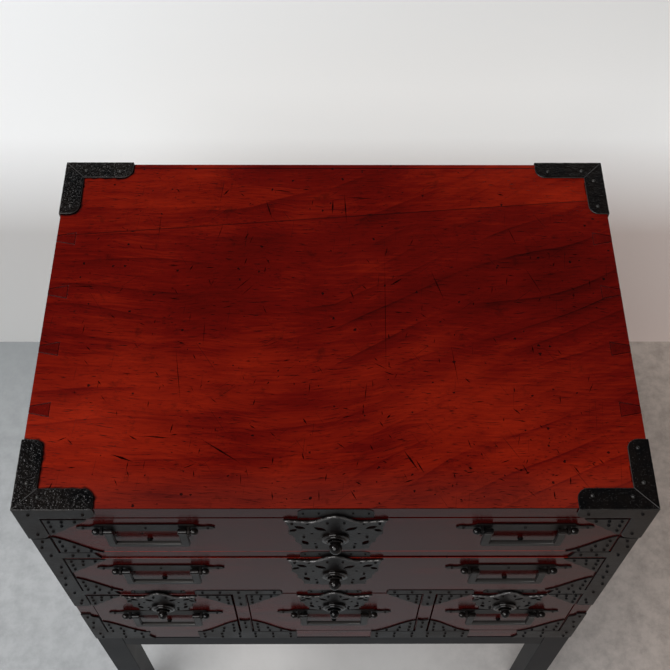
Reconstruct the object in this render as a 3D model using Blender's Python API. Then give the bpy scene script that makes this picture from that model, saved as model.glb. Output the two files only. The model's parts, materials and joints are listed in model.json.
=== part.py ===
# Lacquered chest of five drawers with iron fittings, on a square-tube steel stand.
# Metres, +Z up, the front faces -Y and the stand's feet are at Z = 0.

import math
from typing import NamedTuple

import bmesh
import bpy
from mathutils import Matrix, Vector

# Carcass boards
CHEST_WIDTH = 0.600
CHEST_DEPTH = 0.415
SIDE_THICKNESS = 0.020
TOP_THICKNESS = 0.021
BOTTOM_THICKNESS = 0.032
UPPER_SHELF_THICKNESS = 0.016
LOWER_SHELF_THICKNESS = 0.014
DIVIDER_THICKNESS = 0.015
BACK_THICKNESS = 0.010
UPPER_OPENING = 0.091
MIDDLE_OPENING = 0.105
LOWER_OPENING = 0.146
SIDE_BAY_WIDTH = 0.165

# Carcass joints: through dovetails at the corners, housings for shelves and dividers
PIN_COUNT = 6
PIN_NARROW = 0.007
PIN_WIDE = 0.015
SHELF_HOUSING = 0.006
DIVIDER_HOUSING = 0.005
BACK_REBATE = 0.010

# Clearances
FIT_GAP = 0.0003
DRAWER_SIDE_GAP = 0.0008
DRAWER_TOP_GAP = 0.0012
DRAWER_BACK_GAP = 0.006
CUT_MARGIN = 0.005

# Stand
STAND_HEIGHT = 0.350
TUBE_WIDTH = 0.032
TUBE_WALL = 0.002

# Corner straps
STRAP_THICKNESS = 0.0015
STRAP_WIDTH = 0.020
STRAP_REACH_X = 0.074
STRAP_REACH_Y = 0.071
STRAP_DROP = 0.072

# Drawer boxes
FRONT_THICKNESS = 0.022
TRAY_WALL = 0.009
TRAY_FLOOR = 0.006
TRAY_SIDE_DROP = 0.006
FLUSH_PROUD = 0.0005
LOOSE_PROUD = 0.0012

# Drop handles
HANDLE_INSET = 0.097
UPPER_HANDLE_DROP = 0.021
MIDDLE_HANDLE_DROP = 0.027
LOWER_HANDLE_DROP = 0.0645
HANDLE_PLATE_LENGTH = 0.134
HANDLE_PLATE_HEIGHT = 0.016
HANDLE_PLATE_THICKNESS = 0.0012
HANDLE_TIP = 0.014
PIN_AXIS_REACH = 0.0052
POST_WIDTH = 0.003
POST_RADIUS = 0.0036
PIN_RADIUS = 0.0018
FINIAL_RADIUS = 0.0034
BAIL_HALF_WIDTH = 0.040
BAIL_ARM_WIDTH = 0.0085
BAIL_BAR_HEIGHT = 0.0075
BAIL_DEPTH = 0.004
BAIL_DROP = 0.036
BAIL_HEAD = 0.0024
PIN_ROOT = 0.003

# Locks
WIDE_LOCK_DROP = 0.047
SMALL_LOCK_DROP = 0.041
WIDE_PLATE_WIDTH = 0.100
WIDE_PLATE_HEIGHT = 0.081
SMALL_PLATE_WIDTH = 0.086
SMALL_PLATE_HEIGHT = 0.054
LOCK_PLATE_THICKNESS = 0.0015
PLATE_PEAK = 0.0095
PLATE_TIP_DROP = 0.001
PLATE_DIP = 0.004
PLATE_SCALLOP = 0.0025
PLATE_FOOT_BOW = 0.004
# Cusps of the plate's right edge, as shares of its half width and height
PLATE_CUSPS = ((0.92, 0.45), (0.80, 0.70), (0.68, 0.95))
# Pierced leaves of the right half: place as such shares, then lean in radians
PLATE_LEAVES = ((0.74, 0.30, 1.1), (0.27, 0.28, 0.7), (0.60, 0.76, 1.2))
LEAF_LENGTH = 0.0108
LEAF_WIDTH = 0.0056
BOSS_RADIUS = 0.0135
BOSS_RIM_RADIUS = 0.011
BOSS_HEIGHT = 0.0038
KNOB_RADIUS = 0.0063
SMALL_KNOB_RADIUS = 0.0053
KNOB_NECK = 0.0045
KNOB_COLLAR_RADIUS = 0.0072
KNOB_COLLAR_THICKNESS = 0.0015
STEM_RADIUS = 0.004
FLANGE_RADIUS = 0.006
FLANGE_SETBACK = 0.0005
FLANGE_THICKNESS = 0.0015
TAIL_RADIUS = 0.003
TAIL_OVERRUN = 0.001
PLUNGER_TRAVEL = 0.0045
BOLT_TRAVEL = 0.0072
BOLT_SETBACK = 0.0123
BOLT_WIDTH = 0.014
BOLT_THICKNESS = 0.004
BOLT_SINK = 0.001
BOLT_FOOT = 0.0035
WINDOW_WIDTH = 0.007
LOCK_PLAY = 0.0005
MORTISE_PLAY = 0.001

# Facets of turned pieces
TURN_STEPS = 18
PIN_STEPS = 10
ARC_STEPS = 3

# Levels and planes that follow from the sizes above
CHEST_BASE = STAND_HEIGHT + FIT_GAP
BOTTOM_TOP = CHEST_BASE + BOTTOM_THICKNESS
LOWER_SHELF_LOW = BOTTOM_TOP + LOWER_OPENING
LOWER_SHELF_HIGH = LOWER_SHELF_LOW + LOWER_SHELF_THICKNESS
UPPER_SHELF_LOW = LOWER_SHELF_HIGH + MIDDLE_OPENING
UPPER_SHELF_HIGH = UPPER_SHELF_LOW + UPPER_SHELF_THICKNESS
TOP_LOW = UPPER_SHELF_HIGH + UPPER_OPENING
TOP_HIGH = TOP_LOW + TOP_THICKNESS
HALF_WIDTH = CHEST_WIDTH / 2
INNER_HALF = HALF_WIDTH - SIDE_THICKNESS
KNOB_SEAT = math.sqrt(KNOB_RADIUS ** 2 - KNOB_NECK ** 2)
COLLAR_BACK = FIT_GAP + LOCK_PLATE_THICKNESS + PLUNGER_TRAVEL + FIT_GAP
COLLAR_FRONT = COLLAR_BACK + KNOB_COLLAR_THICKNESS
KNOB_CENTRE = COLLAR_FRONT + KNOB_SEAT
SMALL_KNOB_CENTRE = COLLAR_FRONT + math.sqrt(SMALL_KNOB_RADIUS ** 2 - KNOB_NECK ** 2)
FRONT_REACH = LOOSE_PROUD + KNOB_CENTRE + KNOB_RADIUS
BACK_REACH = FIT_GAP + STRAP_THICKNESS
FRONT_Y = (FRONT_REACH - BACK_REACH - CHEST_DEPTH) / 2
BACK_Y = FRONT_Y + CHEST_DEPTH
BACK_BOARD_Y = BACK_Y - BACK_THICKNESS
DIVIDER_CENTRE = INNER_HALF - SIDE_BAY_WIDTH - DIVIDER_THICKNESS / 2
CENTRE_BAY_WIDTH = 2 * (DIVIDER_CENTRE - DIVIDER_THICKNESS / 2)
SIDE_BAY_CENTRE = INNER_HALF - SIDE_BAY_WIDTH / 2


class Drawer(NamedTuple):
    name: str
    centre: float
    floor: float
    width: float
    height: float
    proud: float
    handles: tuple
    handle_drop: float
    lock_drop: float
    plate_width: float
    plate_height: float
    knob_radius: float
    knob_centre: float

    def front_width(self):
        return self.width - 2 * DRAWER_SIDE_GAP

    def front_height(self):
        return self.height - FIT_GAP - DRAWER_TOP_GAP

    def face_y(self):
        return FRONT_Y - self.proud

    def lock_height(self):
        return self.front_height() - self.lock_drop


def wide_drawer(name, floor, height, proud, handle_drop):
    offset = INNER_HALF - HANDLE_INSET
    handles = (("left_", -offset), ("right_", offset))
    return Drawer(name, 0, floor, 2 * INNER_HALF, height, proud, handles, handle_drop,
                  WIDE_LOCK_DROP, WIDE_PLATE_WIDTH, WIDE_PLATE_HEIGHT, KNOB_RADIUS, KNOB_CENTRE)


def small_drawer(name, centre, width, proud):
    return Drawer(name, centre, BOTTOM_TOP, width, LOWER_OPENING, proud, (("", 0),), LOWER_HANDLE_DROP,
                  SMALL_LOCK_DROP, SMALL_PLATE_WIDTH, SMALL_PLATE_HEIGHT,
                  SMALL_KNOB_RADIUS, SMALL_KNOB_CENTRE)


UPPER_DRAWER = wide_drawer("upper", UPPER_SHELF_HIGH, UPPER_OPENING, FLUSH_PROUD, UPPER_HANDLE_DROP)
MIDDLE_DRAWER = wide_drawer("middle", LOWER_SHELF_HIGH, MIDDLE_OPENING, LOOSE_PROUD, MIDDLE_HANDLE_DROP)
SMALL_DRAWERS = (
    small_drawer("lower_left", -SIDE_BAY_CENTRE, SIDE_BAY_WIDTH, LOOSE_PROUD),
    small_drawer("lower_centre", 0, CENTRE_BAY_WIDTH, FLUSH_PROUD),
    small_drawer("lower_right", SIDE_BAY_CENTRE, SIDE_BAY_WIDTH, FLUSH_PROUD),
)


# Modelling helpers

def clear_scene():
    for item in list(bpy.data.objects):
        bpy.data.objects.remove(item, do_unlink=True)


def finish(name, colour, roughness, metallic):
    material = bpy.data.materials.new(name)
    material.use_nodes = True
    shader = material.node_tree.nodes["Principled BSDF"]
    shader.inputs["Base Color"].default_value = (*colour, 1)
    shader.inputs["Roughness"].default_value = roughness
    shader.inputs["Metallic"].default_value = metallic
    return material


def link(name, data, parent, location):
    item = bpy.data.objects.new(name, data)
    bpy.context.scene.collection.objects.link(item)
    item.parent = parent
    item.location = location
    return item


def place(name, bm, material=None, parent=None, location=(0, 0, 0)):
    bmesh.ops.recalc_face_normals(bm, faces=bm.faces)
    mesh = bpy.data.meshes.new(name)
    bm.to_mesh(mesh)
    bm.free()
    if material:
        mesh.materials.append(material)
    return link(name, mesh, parent, location)


def round_shading(piece):
    piece.data.shade_smooth()
    piece.data.set_sharp_from_angle(angle=math.radians(35))


def add_box(bm, low, high):
    low = Vector(low)
    high = Vector(high)
    bmesh.ops.create_cube(bm, size=1, matrix=Matrix.LocRotScale((low + high) / 2, None, high - low))


def boxes(*spans):
    bm = bmesh.new()
    for low, high in spans:
        add_box(bm, low, high)
    return bm


def board(name, low, high, material, parent=None):
    centre = (Vector(low) + Vector(high)) / 2
    bm = boxes((Vector(low) - centre, Vector(high) - centre))
    return place(name, bm, material, parent, centre)


def add_prism(bm, corners, travel):
    face = bm.faces.new([bm.verts.new(corner) for corner in corners])
    made = bmesh.ops.extrude_face_region(bm, geom=[face])["geom"]
    moved = [item for item in made if isinstance(item, bmesh.types.BMVert)]
    bmesh.ops.translate(bm, verts=moved, vec=travel)


def turned(profile, steps, axis, centre=(0, 0, 0), closed=False):
    """A profile of (radius, distance along the axis) points, turned about the axis through the centre."""
    bm = bmesh.new()
    points = [bm.verts.new((radius, 0, along)) for radius, along in profile]
    pairs = list(zip(points, points[1:]))
    if closed:
        pairs.append((points[-1], points[0]))
    edges = [bm.edges.new(pair) for pair in pairs]
    bmesh.ops.spin(bm, geom=points + edges, cent=(0, 0, 0), axis=(0, 0, 1), angle=2 * math.pi, steps=steps)
    bmesh.ops.remove_doubles(bm, verts=bm.verts, dist=1e-6)
    turn = Vector((0, 0, 1)).rotation_difference(Vector(axis)).to_matrix().to_4x4()
    bmesh.ops.transform(bm, matrix=Matrix.Translation(centre) @ turn, verts=bm.verts)
    return bm


def rod(radius, start, end, steps, axis, centre=(0, 0, 0)):
    return turned(((0, start), (radius, start), (radius, end), (0, end)), steps, axis, centre)


def combine(target, bm, operation):
    tool = place(f"{target.name}_{operation.lower()}_{len(target.modifiers)}", bm, None, target.parent)
    tool.hide_render = True
    tool.display_type = "WIRE"
    modifier = target.modifiers.new(operation.title(), "BOOLEAN")
    modifier.operation = operation
    modifier.object = tool


def cut(target, bm):
    combine(target, bm, "DIFFERENCE")


def fuse(target, bm):
    combine(target, bm, "UNION")


# Carcass

def pin_centres():
    pitch = CHEST_DEPTH / PIN_COUNT
    return [FRONT_Y + pitch * (index + 0.5) for index in range(PIN_COUNT)]


def pin_half(depth):
    """Half the width of a dovetail pin at a depth inside the chest's outer side."""
    return (PIN_NARROW + (PIN_WIDE - PIN_NARROW) * depth / SIDE_THICKNESS) / 2


def add_pin_slots(bm, low, high):
    """Slots in a top or bottom board for the pins of both sides."""
    outer = -CUT_MARGIN
    inner = SIDE_THICKNESS + FIT_GAP
    for side in (-1, 1):
        for centre in pin_centres():
            plan = []
            for depth, way in ((outer, -1), (outer, 1), (inner, 1), (inner, -1)):
                y = centre + way * (pin_half(depth) + FIT_GAP)
                plan.append((side * (HALF_WIDTH - depth), y, low))
            add_prism(bm, plan, (0, 0, high - low))


def add_sockets(bm, side, low, high):
    """The spaces between the pins of a side board, where the tails of the other board go."""
    outer = -CUT_MARGIN
    inner = SIDE_THICKNESS + CUT_MARGIN
    centres = pin_centres()
    for before, after in zip([None] + centres, centres + [None]):
        plan = []
        corners = ((outer, before, 1), (outer, after, -1), (inner, after, -1), (inner, before, 1))
        for depth, pin, way in corners:
            end = FRONT_Y - CUT_MARGIN if way > 0 else BACK_Y + CUT_MARGIN
            y = end if pin is None else pin + way * pin_half(depth)
            plan.append((side * (HALF_WIDTH - depth), y, low))
        add_prism(bm, plan, (0, 0, high - low))


def bolt_mortise(drawer, board_low):
    """The pocket over a drawer's lock that its raised bolt goes into."""
    half_width = BOLT_WIDTH / 2 + MORTISE_PLAY
    half_depth = BOLT_THICKNESS / 2 + MORTISE_PLAY
    y = drawer.face_y() + BOLT_SETBACK
    depth = BOLT_TRAVEL - BOLT_SINK - DRAWER_TOP_GAP + MORTISE_PLAY
    low = (drawer.centre - half_width, y - half_depth, board_low - CUT_MARGIN)
    high = (drawer.centre + half_width, y + half_depth, board_low + depth)
    return low, high


def end_board(name, low, high, material):
    """A full-width board, top or bottom, slotted for the dovetail pins of both sides."""
    piece = board(name, (-HALF_WIDTH, FRONT_Y, low), (HALF_WIDTH, BACK_Y, high), material)
    slots = bmesh.new()
    add_pin_slots(slots, low - CUT_MARGIN, high + CUT_MARGIN)
    cut(piece, slots)
    return piece


def divider_housing(centre, low, high):
    half = DIVIDER_THICKNESS / 2 + FIT_GAP
    return (centre - half, FRONT_Y - CUT_MARGIN, low), (centre + half, BACK_BOARD_Y, high)


def top_board(material):
    piece = end_board("top_board", TOP_LOW, TOP_HIGH, material)
    cut(piece, boxes(bolt_mortise(UPPER_DRAWER, TOP_LOW)))


def bottom_board(material):
    piece = end_board("bottom_board", CHEST_BASE, BOTTOM_TOP, material)
    low = BOTTOM_TOP - DIVIDER_HOUSING
    high = BOTTOM_TOP + CUT_MARGIN
    cut(piece, boxes(*[divider_housing(side * DIVIDER_CENTRE, low, high) for side in (-1, 1)]))


def side_board(name, side, material):
    near = side * INNER_HALF
    far = side * HALF_WIDTH
    piece = board(name, (min(near, far), FRONT_Y, CHEST_BASE), (max(near, far), BACK_Y, TOP_HIGH), material)
    sockets = bmesh.new()
    add_sockets(sockets, side, TOP_LOW - FIT_GAP, TOP_HIGH + CUT_MARGIN)
    add_sockets(sockets, side, CHEST_BASE - CUT_MARGIN, BOTTOM_TOP + FIT_GAP)
    cut(piece, sockets)
    mouth = near - side * CUT_MARGIN
    seat = near + side * SHELF_HOUSING
    housings = []
    for low, high in ((LOWER_SHELF_LOW, LOWER_SHELF_HIGH), (UPPER_SHELF_LOW, UPPER_SHELF_HIGH)):
        start = (min(mouth, seat), FRONT_Y - CUT_MARGIN, low - FIT_GAP)
        end = (max(mouth, seat), BACK_BOARD_Y, high + FIT_GAP)
        housings.append((start, end))
    cut(piece, boxes(*housings))
    seat = near + side * BACK_REBATE
    start = (min(mouth, seat), BACK_BOARD_Y - FIT_GAP, BOTTOM_TOP)
    end = (max(mouth, seat), BACK_Y + CUT_MARGIN, TOP_LOW)
    cut(piece, boxes((start, end)))


def shelf(name, low, high, drawers, material):
    half = INNER_HALF + SHELF_HOUSING - FIT_GAP
    piece = board(name, (-half, FRONT_Y, low), (half, BACK_BOARD_Y - FIT_GAP, high), material)
    cut(piece, boxes(*[bolt_mortise(drawer, low) for drawer in drawers]))
    return piece


def lower_shelf(material):
    piece = shelf("lower_shelf", LOWER_SHELF_LOW, LOWER_SHELF_HIGH, SMALL_DRAWERS, material)
    low = LOWER_SHELF_LOW - CUT_MARGIN
    high = LOWER_SHELF_LOW + DIVIDER_HOUSING
    cut(piece, boxes(*[divider_housing(side * DIVIDER_CENTRE, low, high) for side in (-1, 1)]))


def divider(name, side, material):
    centre = side * DIVIDER_CENTRE
    half = DIVIDER_THICKNESS / 2
    low = BOTTOM_TOP - DIVIDER_HOUSING + FIT_GAP
    high = LOWER_SHELF_LOW + DIVIDER_HOUSING - FIT_GAP
    board(name, (centre - half, FRONT_Y, low), (centre + half, BACK_BOARD_Y - FIT_GAP, high), material)


def back_board(material):
    half = INNER_HALF + BACK_REBATE - FIT_GAP
    low = (-half, BACK_BOARD_Y, BOTTOM_TOP + FIT_GAP)
    high = (half, BACK_Y, TOP_LOW - FIT_GAP)
    board("back_board", low, high, material)


def carcass(lacquer, plain_wood):
    top_board(lacquer)
    bottom_board(lacquer)
    side_board("left_side", -1, lacquer)
    side_board("right_side", 1, lacquer)
    shelf("upper_shelf", UPPER_SHELF_LOW, UPPER_SHELF_HIGH, (MIDDLE_DRAWER,), lacquer)
    lower_shelf(lacquer)
    divider("left_divider", -1, lacquer)
    divider("right_divider", 1, lacquer)
    back_board(plain_wood)


# Stand

def leg(name, side, y, paint):
    """A square tube with a closed foot, its outer faces in line with the chest's."""
    centre = side * (HALF_WIDTH - TUBE_WIDTH / 2)
    half = TUBE_WIDTH / 2
    bore = half - TUBE_WALL
    piece = board(name, (centre - half, y - half, 0), (centre + half, y + half, STAND_HEIGHT), paint)
    low = (centre - bore, y - bore, TUBE_WALL)
    high = (centre + bore, y + bore, STAND_HEIGHT + CUT_MARGIN)
    cut(piece, boxes((low, high)))


def rail(name, start, end, paint):
    """A square tube between two legs; start and end are opposite corners of its outside."""
    piece = board(name, start, end, paint)
    low = Vector(start)
    high = Vector(end)
    along = max(range(3), key=lambda axis: high[axis] - low[axis])
    for axis in range(3):
        change = -CUT_MARGIN if axis == along else TUBE_WALL
        low[axis] += change
        high[axis] -= change
    cut(piece, boxes((low, high)))


def stand(paint):
    half = TUBE_WIDTH / 2
    front = FRONT_Y + half
    back = BACK_Y - half
    for name, side, y in (("front_left", -1, front), ("front_right", 1, front),
                          ("back_left", -1, back), ("back_right", 1, back)):
        leg(f"{name}_leg", side, y, paint)
    low = STAND_HEIGHT - TUBE_WIDTH
    reach = HALF_WIDTH - TUBE_WIDTH - FIT_GAP
    for name, y in (("front", front), ("back", back)):
        rail(f"{name}_rail", (-reach, y - half, low), (reach, y + half, STAND_HEIGHT), paint)
    start = front + half + FIT_GAP
    end = back - half - FIT_GAP
    for name, side in (("left", -1), ("right", 1)):
        x = side * (HALF_WIDTH - half)
        rail(f"{name}_rail", (x - half, start, low), (x + half, end, STAND_HEIGHT), paint)


# Corner straps

def corner_strap(name, side, end, iron):
    """Sheet iron over a top corner, with two legs along each edge.

    side and end point outwards along X and Y, and sizes run inwards from the corner.
    """
    corner = Vector((side * HALF_WIDTH, FRONT_Y if end < 0 else BACK_Y, TOP_HIGH))
    inward = Vector((-side, -end, -1))

    def span(near, far):
        first = [corner[axis] + inward[axis] * near[axis] for axis in range(3)]
        last = [corner[axis] + inward[axis] * far[axis] for axis in range(3)]
        low = [min(pair) for pair in zip(first, last)]
        high = [max(pair) for pair in zip(first, last)]
        return low, high

    skin = -FIT_GAP - STRAP_THICKNESS
    outside = skin - CUT_MARGIN
    beyond = [reach + CUT_MARGIN for reach in (STRAP_REACH_X, STRAP_REACH_Y, STRAP_DROP)]
    low, high = span((skin,) * 3, (STRAP_REACH_X, STRAP_REACH_Y, STRAP_DROP))
    piece = board(name, low, high, iron)
    cut(piece, boxes(span((-FIT_GAP,) * 3, beyond)))
    windows = []
    for thin in range(3):
        near = [STRAP_WIDTH] * 3
        far = list(beyond)
        near[thin] = outside
        far[thin] = CUT_MARGIN
        windows.append(span(near, far))
    cut(piece, boxes(*windows))


def straps(iron):
    for name, side, end in (("front_left", -1, -1), ("front_right", 1, -1),
                            ("back_left", -1, 1), ("back_right", 1, 1)):
        corner_strap(f"{name}_strap", side, end, iron)


# Drawers; each is built under an empty at the middle of its face's lower edge, with Y running inwards

def drawer_front(drawer, frame, lacquer):
    half = drawer.front_width() / 2
    height = drawer.front_height()
    lock = drawer.lock_height()
    name = f"{drawer.name}_drawer_front"
    piece = board(name, (-half, 0, 0), (half, FRONT_THICKNESS, height), lacquer, frame)
    bolt_half = BOLT_WIDTH / 2 + FIT_GAP
    slot_half = BOLT_THICKNESS / 2 + FIT_GAP
    low = (-bolt_half, BOLT_SETBACK - slot_half, bolt_low(drawer) - FIT_GAP)
    high = (bolt_half, BOLT_SETBACK + slot_half, height + CUT_MARGIN)
    cut(piece, boxes((low, high)))
    axis = (0, 1, 0)
    flange_end = FLANGE_SETBACK + FLANGE_THICKNESS + PLUNGER_TRAVEL + LOCK_PLAY
    tail_end = BOLT_SETBACK + BOLT_THICKNESS / 2 + TAIL_OVERRUN + PLUNGER_TRAVEL + LOCK_PLAY
    wide = FLANGE_RADIUS + LOCK_PLAY
    narrow = TAIL_RADIUS + FIT_GAP
    bore = ((0, -CUT_MARGIN), (wide, -CUT_MARGIN), (wide, flange_end), (narrow, flange_end),
            (narrow, tail_end), (0, tail_end))
    cut(piece, turned(bore, PIN_STEPS, axis, (0, 0, lock)))


def drawer_tray(drawer, frame, wood):
    """Sides, back and floor of a drawer, open at the top and behind the front."""
    half = drawer.front_width() / 2
    start = FRONT_THICKNESS + FIT_GAP
    end = CHEST_DEPTH - BACK_THICKNESS - DRAWER_BACK_GAP
    height = drawer.front_height() - TRAY_SIDE_DROP
    piece = board(f"{drawer.name}_drawer_tray", (-half, start, 0), (half, end, height), wood, frame)
    low = (TRAY_WALL - half, start - CUT_MARGIN, TRAY_FLOOR)
    high = (half - TRAY_WALL, end - TRAY_WALL, height + CUT_MARGIN)
    cut(piece, boxes((low, high)))


def bowed(start, end, bulge):
    """Points after start up to end, along an arc-like curve that leaves the chord by bulge to its left."""
    start = Vector(start)
    end = Vector(end)
    along = end - start
    left = Vector((-along.y, along.x)).normalized()
    points = []
    for index in range(1, ARC_STEPS + 1):
        share = index / ARC_STEPS
        points.append(start + along * share + left * bulge * 4 * share * (1 - share))
    return points


def lock_plate_outline(width, height):
    """Half-scalloped shield: a wavy top edge with a middle peak, tapering scalloped sides."""
    half = width / 2
    tip = -PLATE_TIP_DROP
    dip = -PLATE_DIP
    steps = 6 * ARC_STEPS
    outline = []
    for index in range(steps + 1):
        share = 2 * index / steps - 1
        out = abs(share)
        if out <= 0.5:
            z = dip + (PLATE_PEAK - dip) * (1 + math.cos(2 * math.pi * out)) / 2
        else:
            z = dip + (tip - dip) * (1 - math.cos(2 * math.pi * (out - 0.5))) / 2
        outline.append(Vector((share * half, z)))
    cusps = [(half, tip)] + [(x * half, -z * height) for x, z in PLATE_CUSPS]
    right = []
    for start, end in zip(cusps, cusps[1:]):
        right += bowed(start, end, -PLATE_SCALLOP)
    last_x, last_z = cusps[-1]
    foot = bowed((last_x, last_z), (-last_x, last_z), PLATE_FOOT_BOW)
    left = [Vector((-point.x, point.y)) for point in reversed(right)]
    return outline + right + foot + left[1:]


def leaf(centre, angle):
    """A pierced leaf: two bowed edges between pointed ends."""
    reach = Vector((math.cos(angle), math.sin(angle))) * LEAF_LENGTH / 2
    middle = Vector(centre)
    first = middle - reach
    last = middle + reach
    return bowed(first, last, LEAF_WIDTH / 2) + bowed(last, first, LEAF_WIDTH / 2)


def lock_plate(drawer, frame, iron):
    """Pierced plate with a raised ring round the plunger; its peak stands in front of the rail above."""
    name = f"{drawer.name}_lock_plate"
    top = drawer.front_height()
    back = -FIT_GAP
    front = back - LOCK_PLATE_THICKNESS
    bm = bmesh.new()
    outline = lock_plate_outline(drawer.plate_width, drawer.plate_height)
    add_prism(bm, [(point.x, back, top + point.y) for point in outline], (0, front - back, 0))
    piece = place(name, bm, iron, frame)
    axis = (0, 1, 0)
    centre = (0, 0, drawer.lock_height())
    bore = KNOB_COLLAR_RADIUS + LOCK_PLAY
    base = (front + back) / 2
    rim = front - BOSS_HEIGHT
    shoulder = front - BOSS_HEIGHT / 3
    ring = ((BOSS_RADIUS, base), (BOSS_RADIUS, shoulder), (BOSS_RIM_RADIUS, rim), (bore, rim), (bore, base))
    fuse(piece, turned(ring, TURN_STEPS, axis, centre, closed=True))
    cut(piece, rod(STEM_RADIUS + FIT_GAP, front - CUT_MARGIN, back + CUT_MARGIN, PIN_STEPS, axis, centre))
    half = drawer.plate_width / 2
    height = drawer.plate_height
    piercings = bmesh.new()
    for side in (-1, 1):
        for x, z, lean in PLATE_LEAVES:
            edge = leaf((side * x * half, -z * height), side * lean)
            corners = [(point.x, back + CUT_MARGIN, top + point.y) for point in edge]
            add_prism(piercings, corners, (0, front - back - 2 * CUT_MARGIN, 0))
    cut(piece, piercings)
    round_shading(piece)


def lock_plunger(drawer, frame, iron):
    """Ball-ended button whose tail lifts the bolt as it is pushed in."""
    flange_end = FLANGE_SETBACK + FLANGE_THICKNESS
    tail_end = BOLT_SETBACK + BOLT_THICKNESS / 2 + TAIL_OVERRUN
    radius = drawer.knob_radius
    sweep = math.pi - math.asin(KNOB_NECK / radius)
    profile = []
    for index in range(2 * ARC_STEPS + 1):
        angle = sweep * index / (2 * ARC_STEPS)
        profile.append((radius * math.sin(angle), -drawer.knob_centre - radius * math.cos(angle)))
    profile += [(KNOB_COLLAR_RADIUS, -COLLAR_FRONT), (KNOB_COLLAR_RADIUS, -COLLAR_BACK)]
    profile += [(STEM_RADIUS, -COLLAR_BACK), (STEM_RADIUS, FLANGE_SETBACK)]
    profile += [(FLANGE_RADIUS, FLANGE_SETBACK), (FLANGE_RADIUS, flange_end)]
    profile += [(TAIL_RADIUS, flange_end), (TAIL_RADIUS, tail_end), (0, tail_end)]
    mount = link(f"{drawer.name}_lock_axis", None, frame, (0, 0, drawer.lock_height()))
    piece = place(f"{drawer.name}_lock_plunger", turned(profile, PIN_STEPS, (0, 1, 0)), iron, mount)
    round_shading(piece)


def bolt_low(drawer):
    """Height of the bolt's foot over the drawer's lower edge, with room for its window under the tail."""
    return drawer.lock_height() - TAIL_RADIUS - LOCK_PLAY - BOLT_TRAVEL - BOLT_FOOT


def lock_bolt(drawer, frame, iron):
    lock = drawer.lock_height()
    low = bolt_low(drawer)
    high = drawer.front_height() - BOLT_SINK
    half = BOLT_WIDTH / 2
    thick = BOLT_THICKNESS / 2
    mount = link(f"{drawer.name}_bolt_axis", None, frame, (0, BOLT_SETBACK, lock))
    name = f"{drawer.name}_lock_bolt"
    piece = board(name, (-half, -thick, low - lock), (half, thick, high - lock), iron, mount)
    reach = TAIL_RADIUS + LOCK_PLAY
    window_low = (-WINDOW_WIDTH / 2, -CUT_MARGIN, -reach - BOLT_TRAVEL)
    window_high = (WINDOW_WIDTH / 2, CUT_MARGIN, reach)
    cut(piece, boxes((window_low, window_high)))


def handle_plate(name, axis_frame, iron):
    """Long backplate with round ends and two bored posts; the frame is at the middle of the pin axis."""
    back = PIN_AXIS_REACH - FIT_GAP
    front = back - HANDLE_PLATE_THICKNESS
    shoulder = HANDLE_PLATE_LENGTH / 2 - HANDLE_TIP
    outline = []
    for side in (1, -1):
        for index in range(2 * ARC_STEPS + 1):
            angle = math.pi * (0.5 - index / (2 * ARC_STEPS))
            x = shoulder + HANDLE_TIP * math.cos(angle)
            outline.append((side * x, back, side * HANDLE_PLATE_HEIGHT / 2 * math.sin(angle)))
    bm = bmesh.new()
    add_prism(bm, outline, (0, front - back, 0))
    piece = place(name, bm, iron, axis_frame)
    posts = bmesh.new()
    inner = BAIL_HALF_WIDTH + FIT_GAP
    for side in (-1, 1):
        edge = [(side * inner, (front + back) / 2, -POST_RADIUS)]
        for index in range(2 * ARC_STEPS + 1):
            angle = math.pi * (index / (2 * ARC_STEPS) - 0.5)
            edge.append((side * inner, -POST_RADIUS * math.cos(angle), POST_RADIUS * math.sin(angle)))
        edge.append((side * inner, (front + back) / 2, POST_RADIUS))
        add_prism(posts, edge, (side * POST_WIDTH, 0, 0))
    fuse(piece, posts)
    reach = inner + POST_WIDTH
    for side in (-1, 1):
        start = inner - FIT_GAP / 2
        cut(piece, rod(PIN_RADIUS + FIT_GAP, start, reach + CUT_MARGIN, PIN_STEPS, (side, 0, 0)))


def bail(name, axis_frame, iron):
    """Square-cornered drop handle with a pin and a ball outside each post; hangs straight down at rest."""
    outer = BAIL_HALF_WIDTH
    inner = outer - BAIL_ARM_WIDTH
    bar = BAIL_BAR_HEIGHT - BAIL_DROP
    back = BAIL_DEPTH / 2
    outline = [(-outer, BAIL_HEAD), (-outer, -BAIL_DROP), (outer, -BAIL_DROP), (outer, BAIL_HEAD),
               (inner, BAIL_HEAD), (inner, bar), (-inner, bar), (-inner, BAIL_HEAD)]
    bm = bmesh.new()
    add_prism(bm, [(x, back, z) for x, z in outline], (0, -BAIL_DEPTH, 0))
    piece = place(name, bm, iron, axis_frame)
    seat = outer + FIT_GAP + POST_WIDTH + FIT_GAP
    neck = math.asin(PIN_RADIUS / FINIAL_RADIUS)
    ball = seat + FINIAL_RADIUS * math.cos(neck)
    profile = [(0, outer - PIN_ROOT), (PIN_RADIUS, outer - PIN_ROOT)]
    for index in range(2 * ARC_STEPS + 1):
        angle = math.pi - neck - (math.pi - neck) * index / (2 * ARC_STEPS)
        profile.append((FINIAL_RADIUS * math.sin(angle), ball + FINIAL_RADIUS * math.cos(angle)))
    for side in (-1, 1):
        fuse(piece, turned(profile, PIN_STEPS, (side, 0, 0)))
    round_shading(piece)


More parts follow.
